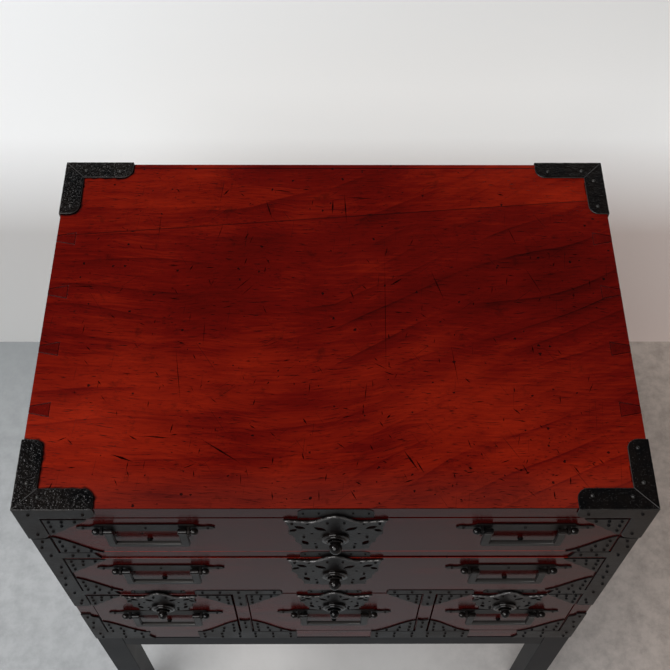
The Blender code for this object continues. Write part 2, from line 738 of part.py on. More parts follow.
def drawer(layout, lacquer, wood, iron):
    origin = (layout.centre, layout.face_y(), layout.floor + FIT_GAP)
    frame = link(f"{layout.name}_drawer", None, None, origin)
    drawer_front(layout, frame, lacquer)
    drawer_tray(layout, frame, wood)
    lock_plate(layout, frame, iron)
    lock_plunger(layout, frame, iron)
    lock_bolt(layout, frame, iron)
    axis_height = layout.front_height() - layout.handle_drop
    for label, offset in layout.handles:
        name = f"{layout.name}_{label}"
        axis_frame = link(f"{name}bail_axis", None, frame, (offset, -PIN_AXIS_REACH, axis_height))
        handle_plate(f"{name}handle_plate", axis_frame, iron)
        bail(f"{name}bail", axis_frame, iron)


def main():
    clear_scene()
    lacquer = finish("red_lacquer", (0.14, 0.012, 0.008), 0.18, 0)
    wood = finish("paulownia", (0.45, 0.31, 0.18), 0.6, 0)
    iron = finish("black_iron", (0.015, 0.014, 0.014), 0.35, 0.8)
    paint = finish("black_paint", (0.02, 0.02, 0.021), 0.4, 0)
    carcass(lacquer, wood)
    stand(paint)
    straps(iron)
    for layout in (UPPER_DRAWER, MIDDLE_DRAWER) + SMALL_DRAWERS:
        drawer(layout, lacquer, wood, iron)


main()
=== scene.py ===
import json
import math
import random
from functools import partial

import bpy
from mathutils import Matrix, Vector


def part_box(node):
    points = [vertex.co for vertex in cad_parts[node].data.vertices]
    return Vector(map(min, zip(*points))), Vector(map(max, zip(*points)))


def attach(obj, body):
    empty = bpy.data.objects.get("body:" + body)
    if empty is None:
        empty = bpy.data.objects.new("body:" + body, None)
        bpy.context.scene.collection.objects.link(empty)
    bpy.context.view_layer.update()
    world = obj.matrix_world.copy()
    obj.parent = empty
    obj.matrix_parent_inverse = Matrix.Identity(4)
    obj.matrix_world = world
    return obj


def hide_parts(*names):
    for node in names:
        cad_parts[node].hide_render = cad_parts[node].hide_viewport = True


# Sea chest of five drawers with black iron fittings, on a steel stand: finishes and fine pieces.
# The dictionaries give sizes in millimetres, and mm turns them into the scene's metres.

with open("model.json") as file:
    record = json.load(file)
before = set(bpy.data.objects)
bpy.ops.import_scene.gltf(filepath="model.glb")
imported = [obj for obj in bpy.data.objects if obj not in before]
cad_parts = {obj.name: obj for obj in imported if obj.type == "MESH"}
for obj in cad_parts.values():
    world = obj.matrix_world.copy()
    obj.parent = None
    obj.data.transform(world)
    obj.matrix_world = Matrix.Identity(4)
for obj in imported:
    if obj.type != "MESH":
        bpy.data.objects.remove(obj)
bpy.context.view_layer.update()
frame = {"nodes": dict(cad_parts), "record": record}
mm = 0.001
near = 0.0002          # points closer than this share a place
lean = 0.2             # a face leans to a side when its normal has this share of it,
level = 0.5            # lies level with this share of the height
square = 0.7           # and looks straight to the side with this one
noiseSpan = (0.3, 0.7)     # where a noise has most of its values
quarter = math.pi / 2
bodyOf = {node: body for body, nodes in frame["record"]["behaviour"]["bodies"].items() for node in nodes}
topLow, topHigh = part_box("top_board")
chestTop, frontY, halfWidth = topHigh.z, topLow.y, topHigh.x
middleY = (topLow.y + topHigh.y) / 2
halfDepth = (topHigh.y - topLow.y) / 2
bottomLow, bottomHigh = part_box("bottom_board")
drawerNames = ("upper", "middle", "lower_left", "lower_centre", "lower_right")
wideDrawers = drawerNames[:2]
print("loaded", len(frame["nodes"]), "nodes")


# Materials

def hexColour(code):
    channels = [int(code[start:start + 2], 16) / 255 for start in (1, 3, 5)]
    linear = [value / 12.92 if value <= 0.04045 else ((value + 0.055) / 1.055) ** 2.4 for value in channels]
    return (*linear, 1)


# Fills a node's inputs, given by name or in their order: a socket is linked, any other value is set
def setInputs(tree, node, inputs):
    for place, value in inputs.items() if isinstance(inputs, dict) else enumerate(inputs):
        if isinstance(value, bpy.types.NodeSocket):
            tree.links.new(value, node.inputs[place])
        else:
            node.inputs[place].default_value = value


# Adds a node and gives back one of its outputs; stops fill a colour ramp
def addNode(tree, kind, inputs=(), output=0, stops=(), **settings):
    node = tree.nodes.new("ShaderNode" + kind)
    for name, value in settings.items():
        setattr(node, name, value)
    setInputs(tree, node, inputs)
    for index, (place, colour) in enumerate(stops):
        elements = node.color_ramp.elements
        element = elements[index] if index < len(elements) else elements.new(place)
        element.position = place
        element.color = hexColour(colour)
    return node.outputs[output]


def newMaterial(name):
    material = bpy.data.materials.new(name)
    material.use_nodes = True
    return material, partial(addNode, material.node_tree)


def finished(material, inputs):
    tree = material.node_tree
    setInputs(tree, tree.nodes["Principled BSDF"], inputs)
    return material


def perMetre(size):
    return 1 / (size * mm)


# Scales that draw a noise out along the grain
def stretched(length, width):
    return (perMetre(length), perMetre(width), perMetre(width))


# Scale of a wave pattern with its bands this far apart
def bandScale(size):
    return math.pi / 10 * perMetre(size)


# Keyaki boards under wiped red lacquer: the grain shows through a clear, hard, glossy red, and old dents
# and pores keep dark dirt
lacquerLook = {
    "deep": "#300302", "red": "#620a05", "orange": "#9a220b", "stain": "#0e0202", "shade": 0.18,
    "cloud": 260, "drift": 50,     # patches of lighter and darker lacquer, and how far they bend the grain
    # Marks along the grain: length, width, detail and roughness of the noise
    "fibre": (150, 3.2, 5.0, 0.65), "fine": (46, 1.3, 3.0, 0.6), "mottle": (52, 20, 5.0, 0.62),
    "pore": (14, 0.9, 2.0, 0.5), "poreSpan": (0.60, 0.74),     # drawn coarser than real pores of 0.2
    "ring": 34, "ringTurn": -9, "ringStretch": 0.45,           # growth rings on the flat-sawn face
    "climb": 0.40,                     # slope of the top's rings on its right half
    "ringSpans": ((0.45, 1.0), (0.88, 0.98)), "ringPatch": 90, "ringFade": (0.42, 0.66),
    "weights": (0.46, 0.35, 0.5, -0.14, -0.14),    # fibre, fine, mottle, ring shade and ring line
    "smudge": 20, "smudgeSpan": (0.62, 0.78), "smudgeDark": 0.6,
    # Lighter towards the front, from this far ahead of the middle, and painted light across the width:
    # lighter on the left, darker on the right
    "paleFrom": 20, "sideLight": 0.10, "paleFront": (0.20, 0.33),
    "scratch": (60, 1.0), "scratchTurns": (12, 57, 96, 141),   # drawn coarser than real hairlines
    "scratchShift": (0.37, 0.21), "scratchSpan": (0.74, 0.80), "scratchDark": 0.75,
    "pit": 11, "pitRagged": (2.5, 3), "pitSpan": (0.30, 1.0), "pitReach": 0.15, "pitDark": 0.85,
    "seam": (100, 50), "seamEdge": 0.4, "stripTone": 0.10,     # glue seam, from the back edge
    "seamLine": (0.3, 0.9, 0.7), "backLine": 5.5, "lippingLine": (0.4, 1.0, 0.8),  # core, edge and darkness
    "strap": (74, 71, 20, 11),         # corner straps, which keep a dark crust of old lacquer round them
    "crustGrain": 9, "crustRagged": 6, "crust": (-2.6, -0.2), "crustThin": (100, 3),   # thinner on the right
    "haze": "#3c2622", "hazeShare": 0.28, "hazeReach": (45, 12),   # dull front edge, rubbed by arms, with a painted sheen
    "pinTone": -0.20, "gloss": (0.14, 0.26), "darkRough": 0.05, "relief": 0.2,
}


def lacqueredKeyaki(name, turn=(0, 0, 0), isTop=False, hasSideLightAndPaleFront=False, tone=0.0, ior=1.45, clouds=1.3,
                    hasPins=False):
    look = lacquerLook
    material, add = newMaterial(name)
    coords = add("TexCoord", output="Object")
    x, y, z = add("SeparateXYZ", (coords,)).node.outputs
    along = add("Mapping", {"Vector": coords, "Rotation": turn})
    cloud = add("TexNoise", {"Vector": along, "Scale": perMetre(look["cloud"]), "Detail": 3.0,
                             "Roughness": 0.55})
    drift = add("VectorMath", (cloud.node.outputs["Color"], (look["drift"] * mm,) * 3, along),
                operation="MULTIPLY_ADD")
    # Rings cross the board at a slant, drawn out along the grain; the top's climb steeper on the right
    sweep = along
    if isTop:
        climb = add("Math", (x, 0.0), operation="MAXIMUM")
        climb = add("Math", (climb, look["climb"]), operation="MULTIPLY")
        climb = add("CombineXYZ", {"Y": climb})
        sweep = add("VectorMath", (along, climb), operation="SUBTRACT")
    slant = add("Mapping", {"Vector": sweep, "Rotation": (0, 0, math.radians(look["ringTurn"])),
                            "Scale": (look["ringStretch"], 1.0, 1.0)})
    marks = []
    for kind, source in (("fibre", drift), ("fine", drift), ("mottle", slant), ("pore", drift)):
        length, width, detail, roughness = look[kind]
        drawn = add("Mapping", {"Vector": source, "Scale": stretched(length, width)})
        marks.append(add("TexNoise", {"Vector": drawn, "Scale": 1.0, "Detail": detail,
                                      "Roughness": roughness}))
    fine = marks[1]
    pores = add("MapRange", (marks.pop(), *look["poreSpan"]))
    rings = add("TexWave", {"Vector": slant, "Scale": bandScale(look["ring"]), "Distortion": 11.0,
                            "Detail": 1.5, "Detail Scale": 0.8, "Detail Roughness": 0.4}, "Fac",
                bands_direction="Y", wave_profile="SAW")
    # The rings fade in and out across the board
    patchy = add("TexNoise", {"Vector": along, "Scale": perMetre(look["ringPatch"]), "Detail": 2.0})
    strength = add("MapRange", (patchy, *look["ringFade"]))
    for span in look["ringSpans"]:
        shade = add("MapRange", (rings, *span), interpolation_type="SMOOTHSTEP")
        marks.append(add("Math", (shade, strength), operation="MULTIPLY"))
    # How bright the lacquer is: cloud, streaks, smudges and growth rings together
    bright = add("Math", (cloud, clouds, tone - look["shade"] - clouds / 2), operation="MULTIPLY_ADD")
    for mark, weight in zip(marks, look["weights"]):
        bright = add("Math", (mark, weight, bright), operation="MULTIPLY_ADD")
    if hasPins:
        # The end grain of the dovetail pins soaks up more lacquer, and shows dark on the top
        onTop = add("MapRange", (z, chestTop - 3 * near, chestTop - near))
        bright = add("Math", (onTop, look["pinTone"], bright), operation="MULTIPLY_ADD")
    # Soft dark stains, few and about as wide as a finger
    smudge = add("TexNoise", {"Vector": along, "Scale": perMetre(look["smudge"]), "Detail": 4.0,
                              "Roughness": 0.6})
    smudge = add("MapRange", (smudge, *look["smudgeSpan"], 0.0, look["smudgeDark"]))
    dark = add("Math", (pores, smudge), operation="MAXIMUM")
    if hasSideLightAndPaleFront:
        # Painted light across the width: lighter on the left and darker on the right, less so near the
        # front. The lacquer also turns lighter and more orange towards the front; the middle and back stay
        # deep
        front = add("MapRange", (y, middleY + look["paleFrom"] * mm, frontY))
        rest = add("Math", (1.0, front), operation="SUBTRACT")
        side = add("MapRange", (x, halfWidth, -halfWidth, -look["sideLight"], look["sideLight"]))
        wornAndLit = add("Math", (side, rest), operation="MULTIPLY")
        gain = add("MapRange", (x, -halfWidth, 0.0, *look["paleFront"]))
        front = add("Math", (front, gain), operation="MULTIPLY")
    if isTop:
        # A glue seam and the joint of a thin lipping run along the back
        left, right = (size * mm for size in look["seam"])
        seam = add("Math", (x, (left - right) / (2 * halfWidth), topHigh.y - (left + right) / 2),
                   operation="MULTIPLY_ADD")
        behind = add("Math", (y, seam), operation="SUBTRACT")
        strip = add("MapRange", (behind, -look["seamEdge"] * mm, look["seamEdge"] * mm))
        board = add("Math", (1.0, strip), operation="SUBTRACT")
        wornAndLit = add("Math", (wornAndLit, board), operation="MULTIPLY")
        bright = add("Math", (strip, look["stripTone"], bright), operation="MULTIPLY_ADD")
        lipping = add("Math", (topHigh.y - look["backLine"] * mm, y), operation="SUBTRACT")
        for away, (core, edge, depth) in ((behind, look["seamLine"]), (lipping, look["lippingLine"])):
            away = add("Math", (away,), operation="ABSOLUTE")
            line = add("MapRange", (away, core * mm, edge * mm, depth, 0.0))
            dark = add("Math", (dark, line), operation="MAXIMUM")
        # Old lacquer gathers dark round the straps: distance from the nearest one, made ragged by noise
        reachX, reachY, strapWidth, bend = (size * mm for size in look["strap"])
        inside = []
        for place, middle, half in ((x, 0.0, halfWidth), (y, middleY, halfDepth)):
            away = add("Math", (place, middle), operation="SUBTRACT")
            away = add("Math", (away,), operation="ABSOLUTE")
            inside.append(add("Math", (half, away), operation="SUBTRACT"))
        legs = []
        for limits in ((reachX, strapWidth), (strapWidth, reachY)):
            over = [add("Math", (place, limit - bend), operation="SUBTRACT")
                    for place, limit in zip(inside, limits)]
            within = add("Math", over, operation="MAXIMUM")
            within = add("Math", (within, 0.0), operation="MINIMUM")
            past = add("CombineXYZ", over)
            past = add("VectorMath", (past, (0, 0, 0)), operation="MAXIMUM")
            past = add("VectorMath", (past,), "Value", operation="LENGTH")
            legs.append(add("Math", (past, within), operation="ADD"))
        nearest = add("Math", legs, operation="MINIMUM")
        ragged = add("TexNoise", {"Vector": coords, "Scale": perMetre(look["crustGrain"]), "Detail": 1.0})
        nearest = add("Math", (ragged, -look["crustRagged"] * mm, nearest), operation="MULTIPLY_ADD")
        nearest = add("Math", (nearest, bend), operation="SUBTRACT")
        turnX, thinner = (size * mm for size in look["crustThin"])
        nearest = add("Math", (nearest, add("MapRange", (x, -turnX, turnX, 0.0, thinner))), operation="ADD")
        crust = add("MapRange", (nearest, *(size * mm for size in look["crust"]), 1.0, 0.0))
        dark = add("Math", (dark, crust), operation="MAXIMUM")
    if hasSideLightAndPaleFront:
        for layer in (front, wornAndLit):
            bright = add("Math", (bright, layer), operation="ADD")
    # Hairline scratches in four directions
    length, width = look["scratch"]
    scratches = 0.0
    for index, angle in enumerate(look["scratchTurns"]):
        swung = add("Mapping", {"Vector": along, "Rotation": (0, 0, math.radians(angle)),
                                "Location": (*(shift * index for shift in look["scratchShift"]), 0.0)})
        thin = add("Mapping", {"Vector": swung, "Scale": (perMetre(length), perMetre(width),
                                                          perMetre(length))})
        hair = add("TexNoise", {"Vector": thin, "Scale": 1.0, "Detail": 1.0})
        hair = add("MapRange", (hair, *look["scratchSpan"]))
        scratches = add("Math", (scratches, hair), operation="MAXIMUM")
    # Small pits of uneven outline
    grain, shift = look["pitRagged"]
    uneven = add("TexNoise", {"Vector": coords, "Scale": perMetre(grain), "Detail": 1.0}, "Color")
    uneven = add("VectorMath", (uneven, (shift * mm,) * 3, coords), operation="MULTIPLY_ADD")
    cells = add("TexVoronoi", {"Vector": uneven, "Scale": perMetre(look["pit"])})
    rarity = add("SeparateColor", (cells.node.outputs["Color"],))
    reach = add("MapRange", (rarity, *look["pitSpan"], 0.0, look["pitReach"]))
    pits = add("Math", (cells, reach), operation="LESS_THAN")
    dark = add("Math", (scratches, look["scratchDark"], dark), operation="MULTIPLY_ADD")
    dark = add("Math", (pits, look["pitDark"], dark), operation="MULTIPLY_ADD", use_clamp=True)
    tint = add("ValToRGB", (bright,), stops=((0.0, look["deep"]), (0.5, look["red"]), (1.0, look["orange"])))
    if isTop:
        # A greyish haze along the front edge: rubbed dull lacquer and a painted sheen
        start, full = (frontY + size * mm for size in look["hazeReach"])
        haze = add("MapRange", (y, start, full, 0.0, look["hazeShare"]))
        tint = add("Mix", {0: haze, 6: tint, 7: hexColour(look["haze"])}, 2, data_type="RGBA")
    colour = add("Mix", {0: dark, 6: tint, 7: hexColour(look["stain"])}, 2, data_type="RGBA")
    gloss = add("MapRange", (cloud, *noiseSpan, *look["gloss"]))
    rough = add("Math", (dark, look["darkRough"], gloss), operation="MULTIPLY_ADD")
    bump = add("Bump", {"Height": fine, "Strength": 0.2, "Distance": look["relief"] * mm})
    return finished(material, {"Base Color": colour, "Roughness": rough, "Normal": bump, "IOR": ior})


# Sheet iron, hammered and blackened with baked lacquer: near black, uneven, with small bright glints from
# its dents; where asked, painted glints of pale steel colour are added
ironLook = {
    "black": "#0d0d0f", "brown": "#1a1513", "wornAndLit": "#3a3836", "steel": "#6c6a6a",
    "patch": 38, "patchSpan": (0.38, 0.62), "hammer": 4.5, "hammerShare": 0.8, "bareSpan": (0.60, 0.74),
    # Painted glints: pale steel specks, smaller towards the right, away from the light
    "glintSpeck": 1.5, "glintFade": 200,    # drawn coarser than the real glints, and smaller towards the right
}


def blackenedIron(name, roughLow, roughHigh, bumpDepth, gritSize=1.3, bareShare=0.5, glintReach=0.0,
                  light="brown", dark="black", shine=0.5, metallic=0.4):
    look = ironLook
    material, add = newMaterial(name)
    coords = add("TexCoord", output="Object")
    patch = add("TexNoise", {"Vector": coords, "Scale": perMetre(look["patch"]), "Detail": 4.0,
                             "Roughness": 0.65})
    hammer = add("TexVoronoi", {"Vector": coords, "Scale": perMetre(look["hammer"])}, feature="SMOOTH_F1")
    grit = add("TexNoise", {"Vector": coords, "Scale": perMetre(gritSize), "Detail": 3.0, "Roughness": 0.6})
    tint = add("ValToRGB", (patch,), stops=tuple(zip(look["patchSpan"], (look[dark], look[light]))))
    bare = add("MapRange", (grit, *look["bareSpan"], 0.0, bareShare))
    colour = add("Mix", {0: bare, 6: tint, 7: hexColour(look["wornAndLit"])}, 2, data_type="RGBA")
    # Painted glints: pale steel specks, smaller towards the right, away from the light
    if glintReach:
        cells = add("TexVoronoi", {"Vector": coords, "Scale": perMetre(look["glintSpeck"])})
        chance = add("SeparateColor", (cells.node.outputs["Color"],))
        fade = look["glintFade"] * mm
        reach = add("MapRange", (add("SeparateXYZ", (coords,)), -fade, fade, glintReach, glintReach / 2))
        reach = add("Math", (chance, reach), operation="MULTIPLY")
        glintSpeck = add("Math", (cells, reach), operation="LESS_THAN")
        colour = add("Mix", {0: glintSpeck, 6: colour, 7: hexColour(look["steel"])}, 2, data_type="RGBA")
    rough = add("MapRange", (patch, *noiseSpan, roughLow, roughHigh))
    height = add("Math", (hammer, look["hammerShare"], grit), operation="MULTIPLY_ADD")
    bump = add("Bump", {"Height": height, "Strength": 0.8, "Distance": bumpDepth * mm})
    return finished(material, {"Base Color": colour, "Roughness": rough, "Normal": bump,
                               "Metallic": metallic, "Specular IOR Level": shine})


# Planed paulownia, unfinished: pale, dry and straight-grained, greyed a little by age
paulowniaLook = {
    "pale": "#c9aa80", "brown": "#9a774e", "fibre": (220, 2.6), "ring": 16, "ringShare": 0.35,
    "stain": 180, "stainShare": 0.5, "toneSpan": (0.5, 1.2), "rough": (0.5, 0.75), "relief": 0.2,
    "stretch": 0.07,       # how far the rings are drawn out along the grain
}


def planedPaulownia(name, turn=(0, 0, 0)):
    look = paulowniaLook
    material, add = newMaterial(name)
    coords = add("TexCoord", output="Object")
    along = add("Mapping", {"Vector": coords, "Rotation": turn})
    streak = add("Mapping", {"Vector": along, "Scale": stretched(*look["fibre"])})
    fibre = add("TexNoise", {"Vector": streak, "Scale": 1.0, "Detail": 4.0, "Roughness": 0.6})
    drawn = add("Mapping", {"Vector": along, "Scale": (look["stretch"], 1.0, 1.0)})
    rings = add("TexWave", {"Vector": drawn, "Scale": bandScale(look["ring"]), "Distortion": 4.0,
                            "Detail": 2.0, "Detail Scale": 0.7}, "Fac",
                bands_direction="DIAGONAL", wave_profile="SAW")
    stain = add("TexNoise", {"Vector": coords, "Scale": perMetre(look["stain"]), "Detail": 3.0})
    tone = add("Math", (rings, look["ringShare"], fibre), operation="MULTIPLY_ADD")
    tone = add("Math", (stain, look["stainShare"], tone), operation="MULTIPLY_ADD")
    tone = add("MapRange", (tone, *look["toneSpan"]))
    colour = add("ValToRGB", (tone,), stops=((0.0, look["pale"]), (1.0, look["brown"])))
    rough = add("MapRange", (fibre, 0.0, 1.0, *look["rough"]))
    bump = add("Bump", {"Height": fibre, "Strength": 0.4, "Distance": look["relief"] * mm})
    return finished(material, {"Base Color": colour, "Roughness": rough, "Normal": bump})


# Black paint sprayed on steel tube: even satin with a faint orange peel and rubbed patches
paintLook = {"black": "#0e0e10", "rubbed": "#1c1c20", "peel": 1.8, "patch": 90, "rough": (0.32, 0.5),
             "shine": 0.08, "relief": 0.2}


def satinPaint(name):
    look = paintLook
    material, add = newMaterial(name)
    coords = add("TexCoord", output="Object")
    patch = add("TexNoise", {"Vector": coords, "Scale": perMetre(look["patch"]), "Detail": 5.0,
                             "Roughness": 0.6})
    peel = add("TexNoise", {"Vector": coords, "Scale": perMetre(look["peel"]), "Detail": 1.0})
    colour = add("ValToRGB", (patch,), stops=((0.45, look["black"]), (0.75, look["rubbed"])))
    rough = add("MapRange", (patch, 0.0, 1.0, *look["rough"]))
    bump = add("Bump", {"Height": peel, "Strength": 0.15, "Distance": look["relief"] * mm})
    return finished(material, {"Base Color": colour, "Roughness": rough, "Normal": bump,
                               "Specular IOR Level": look["shine"]})


# Dirt packed into dents of the lacquer, and painted shade in gaps along the drawers and behind the pierced
# lock plates: brown black, without any shine
grimeAndShadeLook = {"dark": "#0a0202", "brown": "#220604", "grain": 6, "rough": (0.4, 0.6), "relief": 0.2}


def grimeAndGapShade(name):
    look = grimeAndShadeLook
    material, add = newMaterial(name)
    coords = add("TexCoord", output="Object")
    noise = add("TexNoise", {"Vector": coords, "Scale": perMetre(look["grain"]), "Detail": 3.0})
    colour = add("ValToRGB", (noise,), stops=((0.35, look["dark"]), (0.7, look["brown"])))
    rough = add("MapRange", (noise, 0.0, 1.0, *look["rough"]))
    bump = add("Bump", {"Height": noise, "Strength": 0.3, "Distance": look["relief"] * mm})
    return finished(material, {"Base Color": colour, "Roughness": rough, "Normal": bump,
                               "Specular IOR Level": 0.0})


lacquerTop = lacqueredKeyaki("lacqueredKeyakiTop", isTop=True, hasSideLightAndPaleFront=True)
lacquerLong = lacqueredKeyaki("lacqueredKeyakiLong", tone=-0.05)
lacquerUpright = lacqueredKeyaki("lacqueredKeyakiUpright", (0, quarter, 0), hasSideLightAndPaleFront=True, tone=0.02,
                                 hasPins=True)
# A darker copy of the lacquer for faces that look to the front: painted shade
shadedLacquerFace = lacqueredKeyaki("shadedLacqueredKeyakiFace", (-quarter, 0, 0), tone=-0.46, ior=1.28, clouds=0.5)
# A lighter copy for edges that face up and to the front: a painted highlight
litLacquerEdge = lacqueredKeyaki("highlightLacquerEdge", tone=0.55)
# The strap tops carry painted glints as pale specks
hammeredIron = blackenedIron("hammeredIron", 0.14, 0.28, 0.6, 1.6, 0.7, glintReach=0.36, shine=0.35)
# Pale ridge iron for rope edges and strap seams: rubbed metal and a painted highlight
ridgeIron = blackenedIron("rubbedAndHighlitRidgeIron", 0.14, 0.24, 0.05, light="steel", dark="wornAndLit")
wornEdgeIron = blackenedIron("wornEdgeIron", 0.20, 0.34, 0.10, light="wornAndLit")
sheetFinish = blackenedIron("blackSheetIron", 0.34, 0.48, 0.12, shine=0.2)
forgedIron = blackenedIron("forgedIron", 0.28, 0.42, 0.15, shine=0.2)
bailIron = blackenedIron("bailIron", 0.28, 0.42, 0.10, shine=0.2)
# Paler iron for the tops of the bails: finger wear and a painted highlight
rubbedAndLitIron = blackenedIron("rubbedAndLitBarIron", 0.30, 0.44, 0.10, 1.3, 1.0, light="wornAndLit", dark="wornAndLit")
nailIron = blackenedIron("sootBlackIron", 0.40, 0.55, 0.05, shine=0.05, metallic=0.0)
burnishedIron = blackenedIron("burnishedIron", 0.03, 0.09, 0.02, 1.3, 0.9)
paulownia = planedPaulownia("planedPaulownia")
paulowniaTray = planedPaulownia("planedPaulowniaTray", (0, 0, quarter))
satinBlack = satinPaint("satinBlackPaint")
grimeAndShade = grimeAndGapShade("grimeAndGapShade")
print("materials ready")


# Modelling helpers; points closer than these distances are merged
merge = {"copied": 0.02, "cut": 0.005, "spun": 0.01}


def selectOnly(*pieces):
    bpy.ops.object.select_all(action="DESELECT")
    for piece in pieces:
        piece.select_set(True)
    bpy.context.view_layer.objects.active = pieces[0]


def linked(name, data):
    piece = bpy.data.objects.new(name, data)
    bpy.context.scene.collection.objects.link(piece)
    return piece


# The object that an operator adds
def added(operator, **settings):
    bpy.ops.object.select_all(action="DESELECT")
    operator(**settings)
    return bpy.context.view_layer.objects.active


def meshOfCurve(name, curve):
    selectOnly(linked(name, curve))
    bpy.ops.object.convert(target="MESH")
    return bpy.context.view_layer.objects.active


# Runs operators, each with its settings, on the whole mesh
def editMesh(piece, *steps):
    selectOnly(piece)
    bpy.ops.object.mode_set(mode="EDIT")
    for operator, settings in steps:
        bpy.ops.mesh.select_all(action="SELECT")
        operator(**settings)
    bpy.ops.object.mode_set(mode="OBJECT")


# Rounds the edges whose two ends pass the test
def roundEdges(piece, test, width, segments):
    selectOnly(piece)
    bpy.ops.object.mode_set(mode="EDIT")
    bpy.ops.mesh.select_mode(type="EDGE")
    bpy.ops.mesh.select_all(action="DESELECT")
    bpy.ops.object.mode_set(mode="OBJECT")
    for edge in piece.data.edges:
        edge.select = test([piece.data.vertices[index].co for index in edge.vertices])
    bpy.ops.object.mode_set(mode="EDIT")
    bpy.ops.mesh.bevel(offset=width * mm, segments=segments, affect="EDGES", clamp_overlap=False)
    bpy.ops.mesh.select_mode(type="VERT")
    bpy.ops.object.mode_set(mode="OBJECT")


# A merged copy of a node's mesh, free to be reshaped
def copyOfNode(node, name):
    mesh = frame["nodes"][node].data.copy()
    mesh.materials.clear()
    piece = linked(name, mesh)
    editMesh(piece, (bpy.ops.mesh.remove_doubles, {"threshold": merge["copied"] * mm}),
             (bpy.ops.mesh.dissolve_limited, {"angle_limit": math.radians(1)}))
    return piece


def applyModifiers(piece):
    selectOnly(piece)
    for modifier in list(piece.modifiers):
        bpy.ops.object.modifier_apply(modifier=modifier.name)


# Cuts the cutter out of the piece and throws it away
def carve(piece, cutter, **settings):
    cut = piece.modifiers.new("Cut", "BOOLEAN")
    cut.object = cutter
    cut.operation = "DIFFERENCE"
    for name, value in settings.items():
        setattr(cut, name, value)
    applyModifiers(piece)
    bpy.data.objects.remove(cutter)


# Smooth shading of the eased edges only: the large faces keep their own direction
def smoothEdges(piece, angle):
    selectOnly(piece)
    bpy.ops.object.shade_smooth_by_angle(angle=math.radians(angle))
    weigh = piece.modifiers.new("Flat faces", "WEIGHTED_NORMAL")
    weigh.weight = 100
    weigh.keep_sharp = True
    applyModifiers(piece)


def easeEdges(piece, width, segments=2, angle=30):
    bevel = piece.modifiers.new("Eased", "BEVEL")
    bevel.width = width * mm
    bevel.segments = segments
    bevel.limit_method = "ANGLE"
    bevel.angle_limit = math.radians(angle)
    bevel.use_clamp_overlap = False
    bevel.harden_normals = False
    applyModifiers(piece)
    smoothEdges(piece, angle)


def closeMesh(piece):
    editMesh(piece, (bpy.ops.mesh.remove_doubles, {"threshold": merge["cut"] * mm}),
             (bpy.ops.mesh.normals_make_consistent, {"inside": False}))


def joinAs(name, pieces):
    selectOnly(*pieces)
    if len(pieces) > 1:
        bpy.ops.object.join()
    pieces[0].name = name
    pieces[0].data.name = name
    return pieces[0]


def coat(piece, material):
    piece.data.materials.clear()
    piece.data.materials.append(material)
    return piece


# Gives another finish to the faces that pass the test
def coatFaces(piece, material, test):
    piece.data.materials.append(material)
    for face in piece.data.polygons:
        if test(face):
            face.material_index = len(piece.data.materials) - 1


def facesFront(face):
    return face.normal.y < -lean and face.material_index == 0


def facesUpAndFront(face):
    return face.normal.z > lean and face.normal.y < -lean


def settle(piece, body, slot, *nodes):
    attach(piece, body)
    if nodes:
        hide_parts(*nodes)


# Points after start up to end, leaving the straight line by bulge to its left
def bowed(start, end, bulge, steps=6):
    start, end = Vector(start), Vector(end)
    along = end - start
    left = Vector((-along.y, along.x)).normalized()
    shares = [index / steps for index in range(1, steps + 1)]
    return [start + along * share + left * bulge * 4 * share * (1 - share) for share in shares]


def scalloped(start, end, count, bulge, steps=5):
    corners = [Vector(start).lerp(Vector(end), index / count) for index in range(count + 1)]
    points = []
    for first, last in zip(corners, corners[1:]):
        points += bowed(first, last, bulge, steps)
    return points


# Points after start up to end along a flat S: level at both ends and steep between
def ogee(start, end, steps=14):
    points = []
    for index in range(1, steps + 1):
        share = index / steps
        rise = (share + share * share * (3 - 2 * share)) / 2
        points.append((start[0] + (end[0] - start[0]) * share, start[1] + (end[1] - start[1]) * rise))
    return points


def ring(centre, radius, steps=12):
    angles = [2 * math.pi * index / steps for index in range(steps)]
    return [(centre[0] + radius * math.cos(angle), centre[1] + radius * math.sin(angle)) for angle in angles]


# Outline points turned over for the other side
def handed(points, side):
    return [(side * x, z) for x, z in points]


# Plates cut from sheet: closed outlines across and up, in metres, given thickness towards the front.
# facing "front" stands the outline in the X and Z directions with its back at depth, "side" in Y and Z.
def cutSheet(name, outlines, depth, thickness, edge=0.2, facing="front"):
    curve = bpy.data.curves.new(name, "CURVE")
    curve.dimensions = "2D"
    curve.fill_mode = "BOTH"
    curve.extrude = thickness * mm / 2
    for outline in outlines:
        spline = curve.splines.new("POLY")
        spline.points.add(len(outline) - 1)
        for point, place in zip(spline.points, outline):
            point.co = (place[0], place[1], 0, 1)
        spline.use_cyclic_u = True
    piece = meshOfCurve(name, curve)
    isFront = facing == "front"
    piece.rotation_euler = (quarter, 0, 0 if isFront else quarter)
    piece.location = (0, depth - thickness * mm / 2, 0) if isFront else (depth, 0, 0)
    bpy.ops.object.transform_apply(location=True, rotation=True, scale=True)
    closeMesh(piece)
    easeEdges(piece, edge, segments=1, angle=40)
    return piece


def turnTo(way):
    return Vector((0, 0, 1)).rotation_difference(Vector(way)).to_matrix().to_4x4()


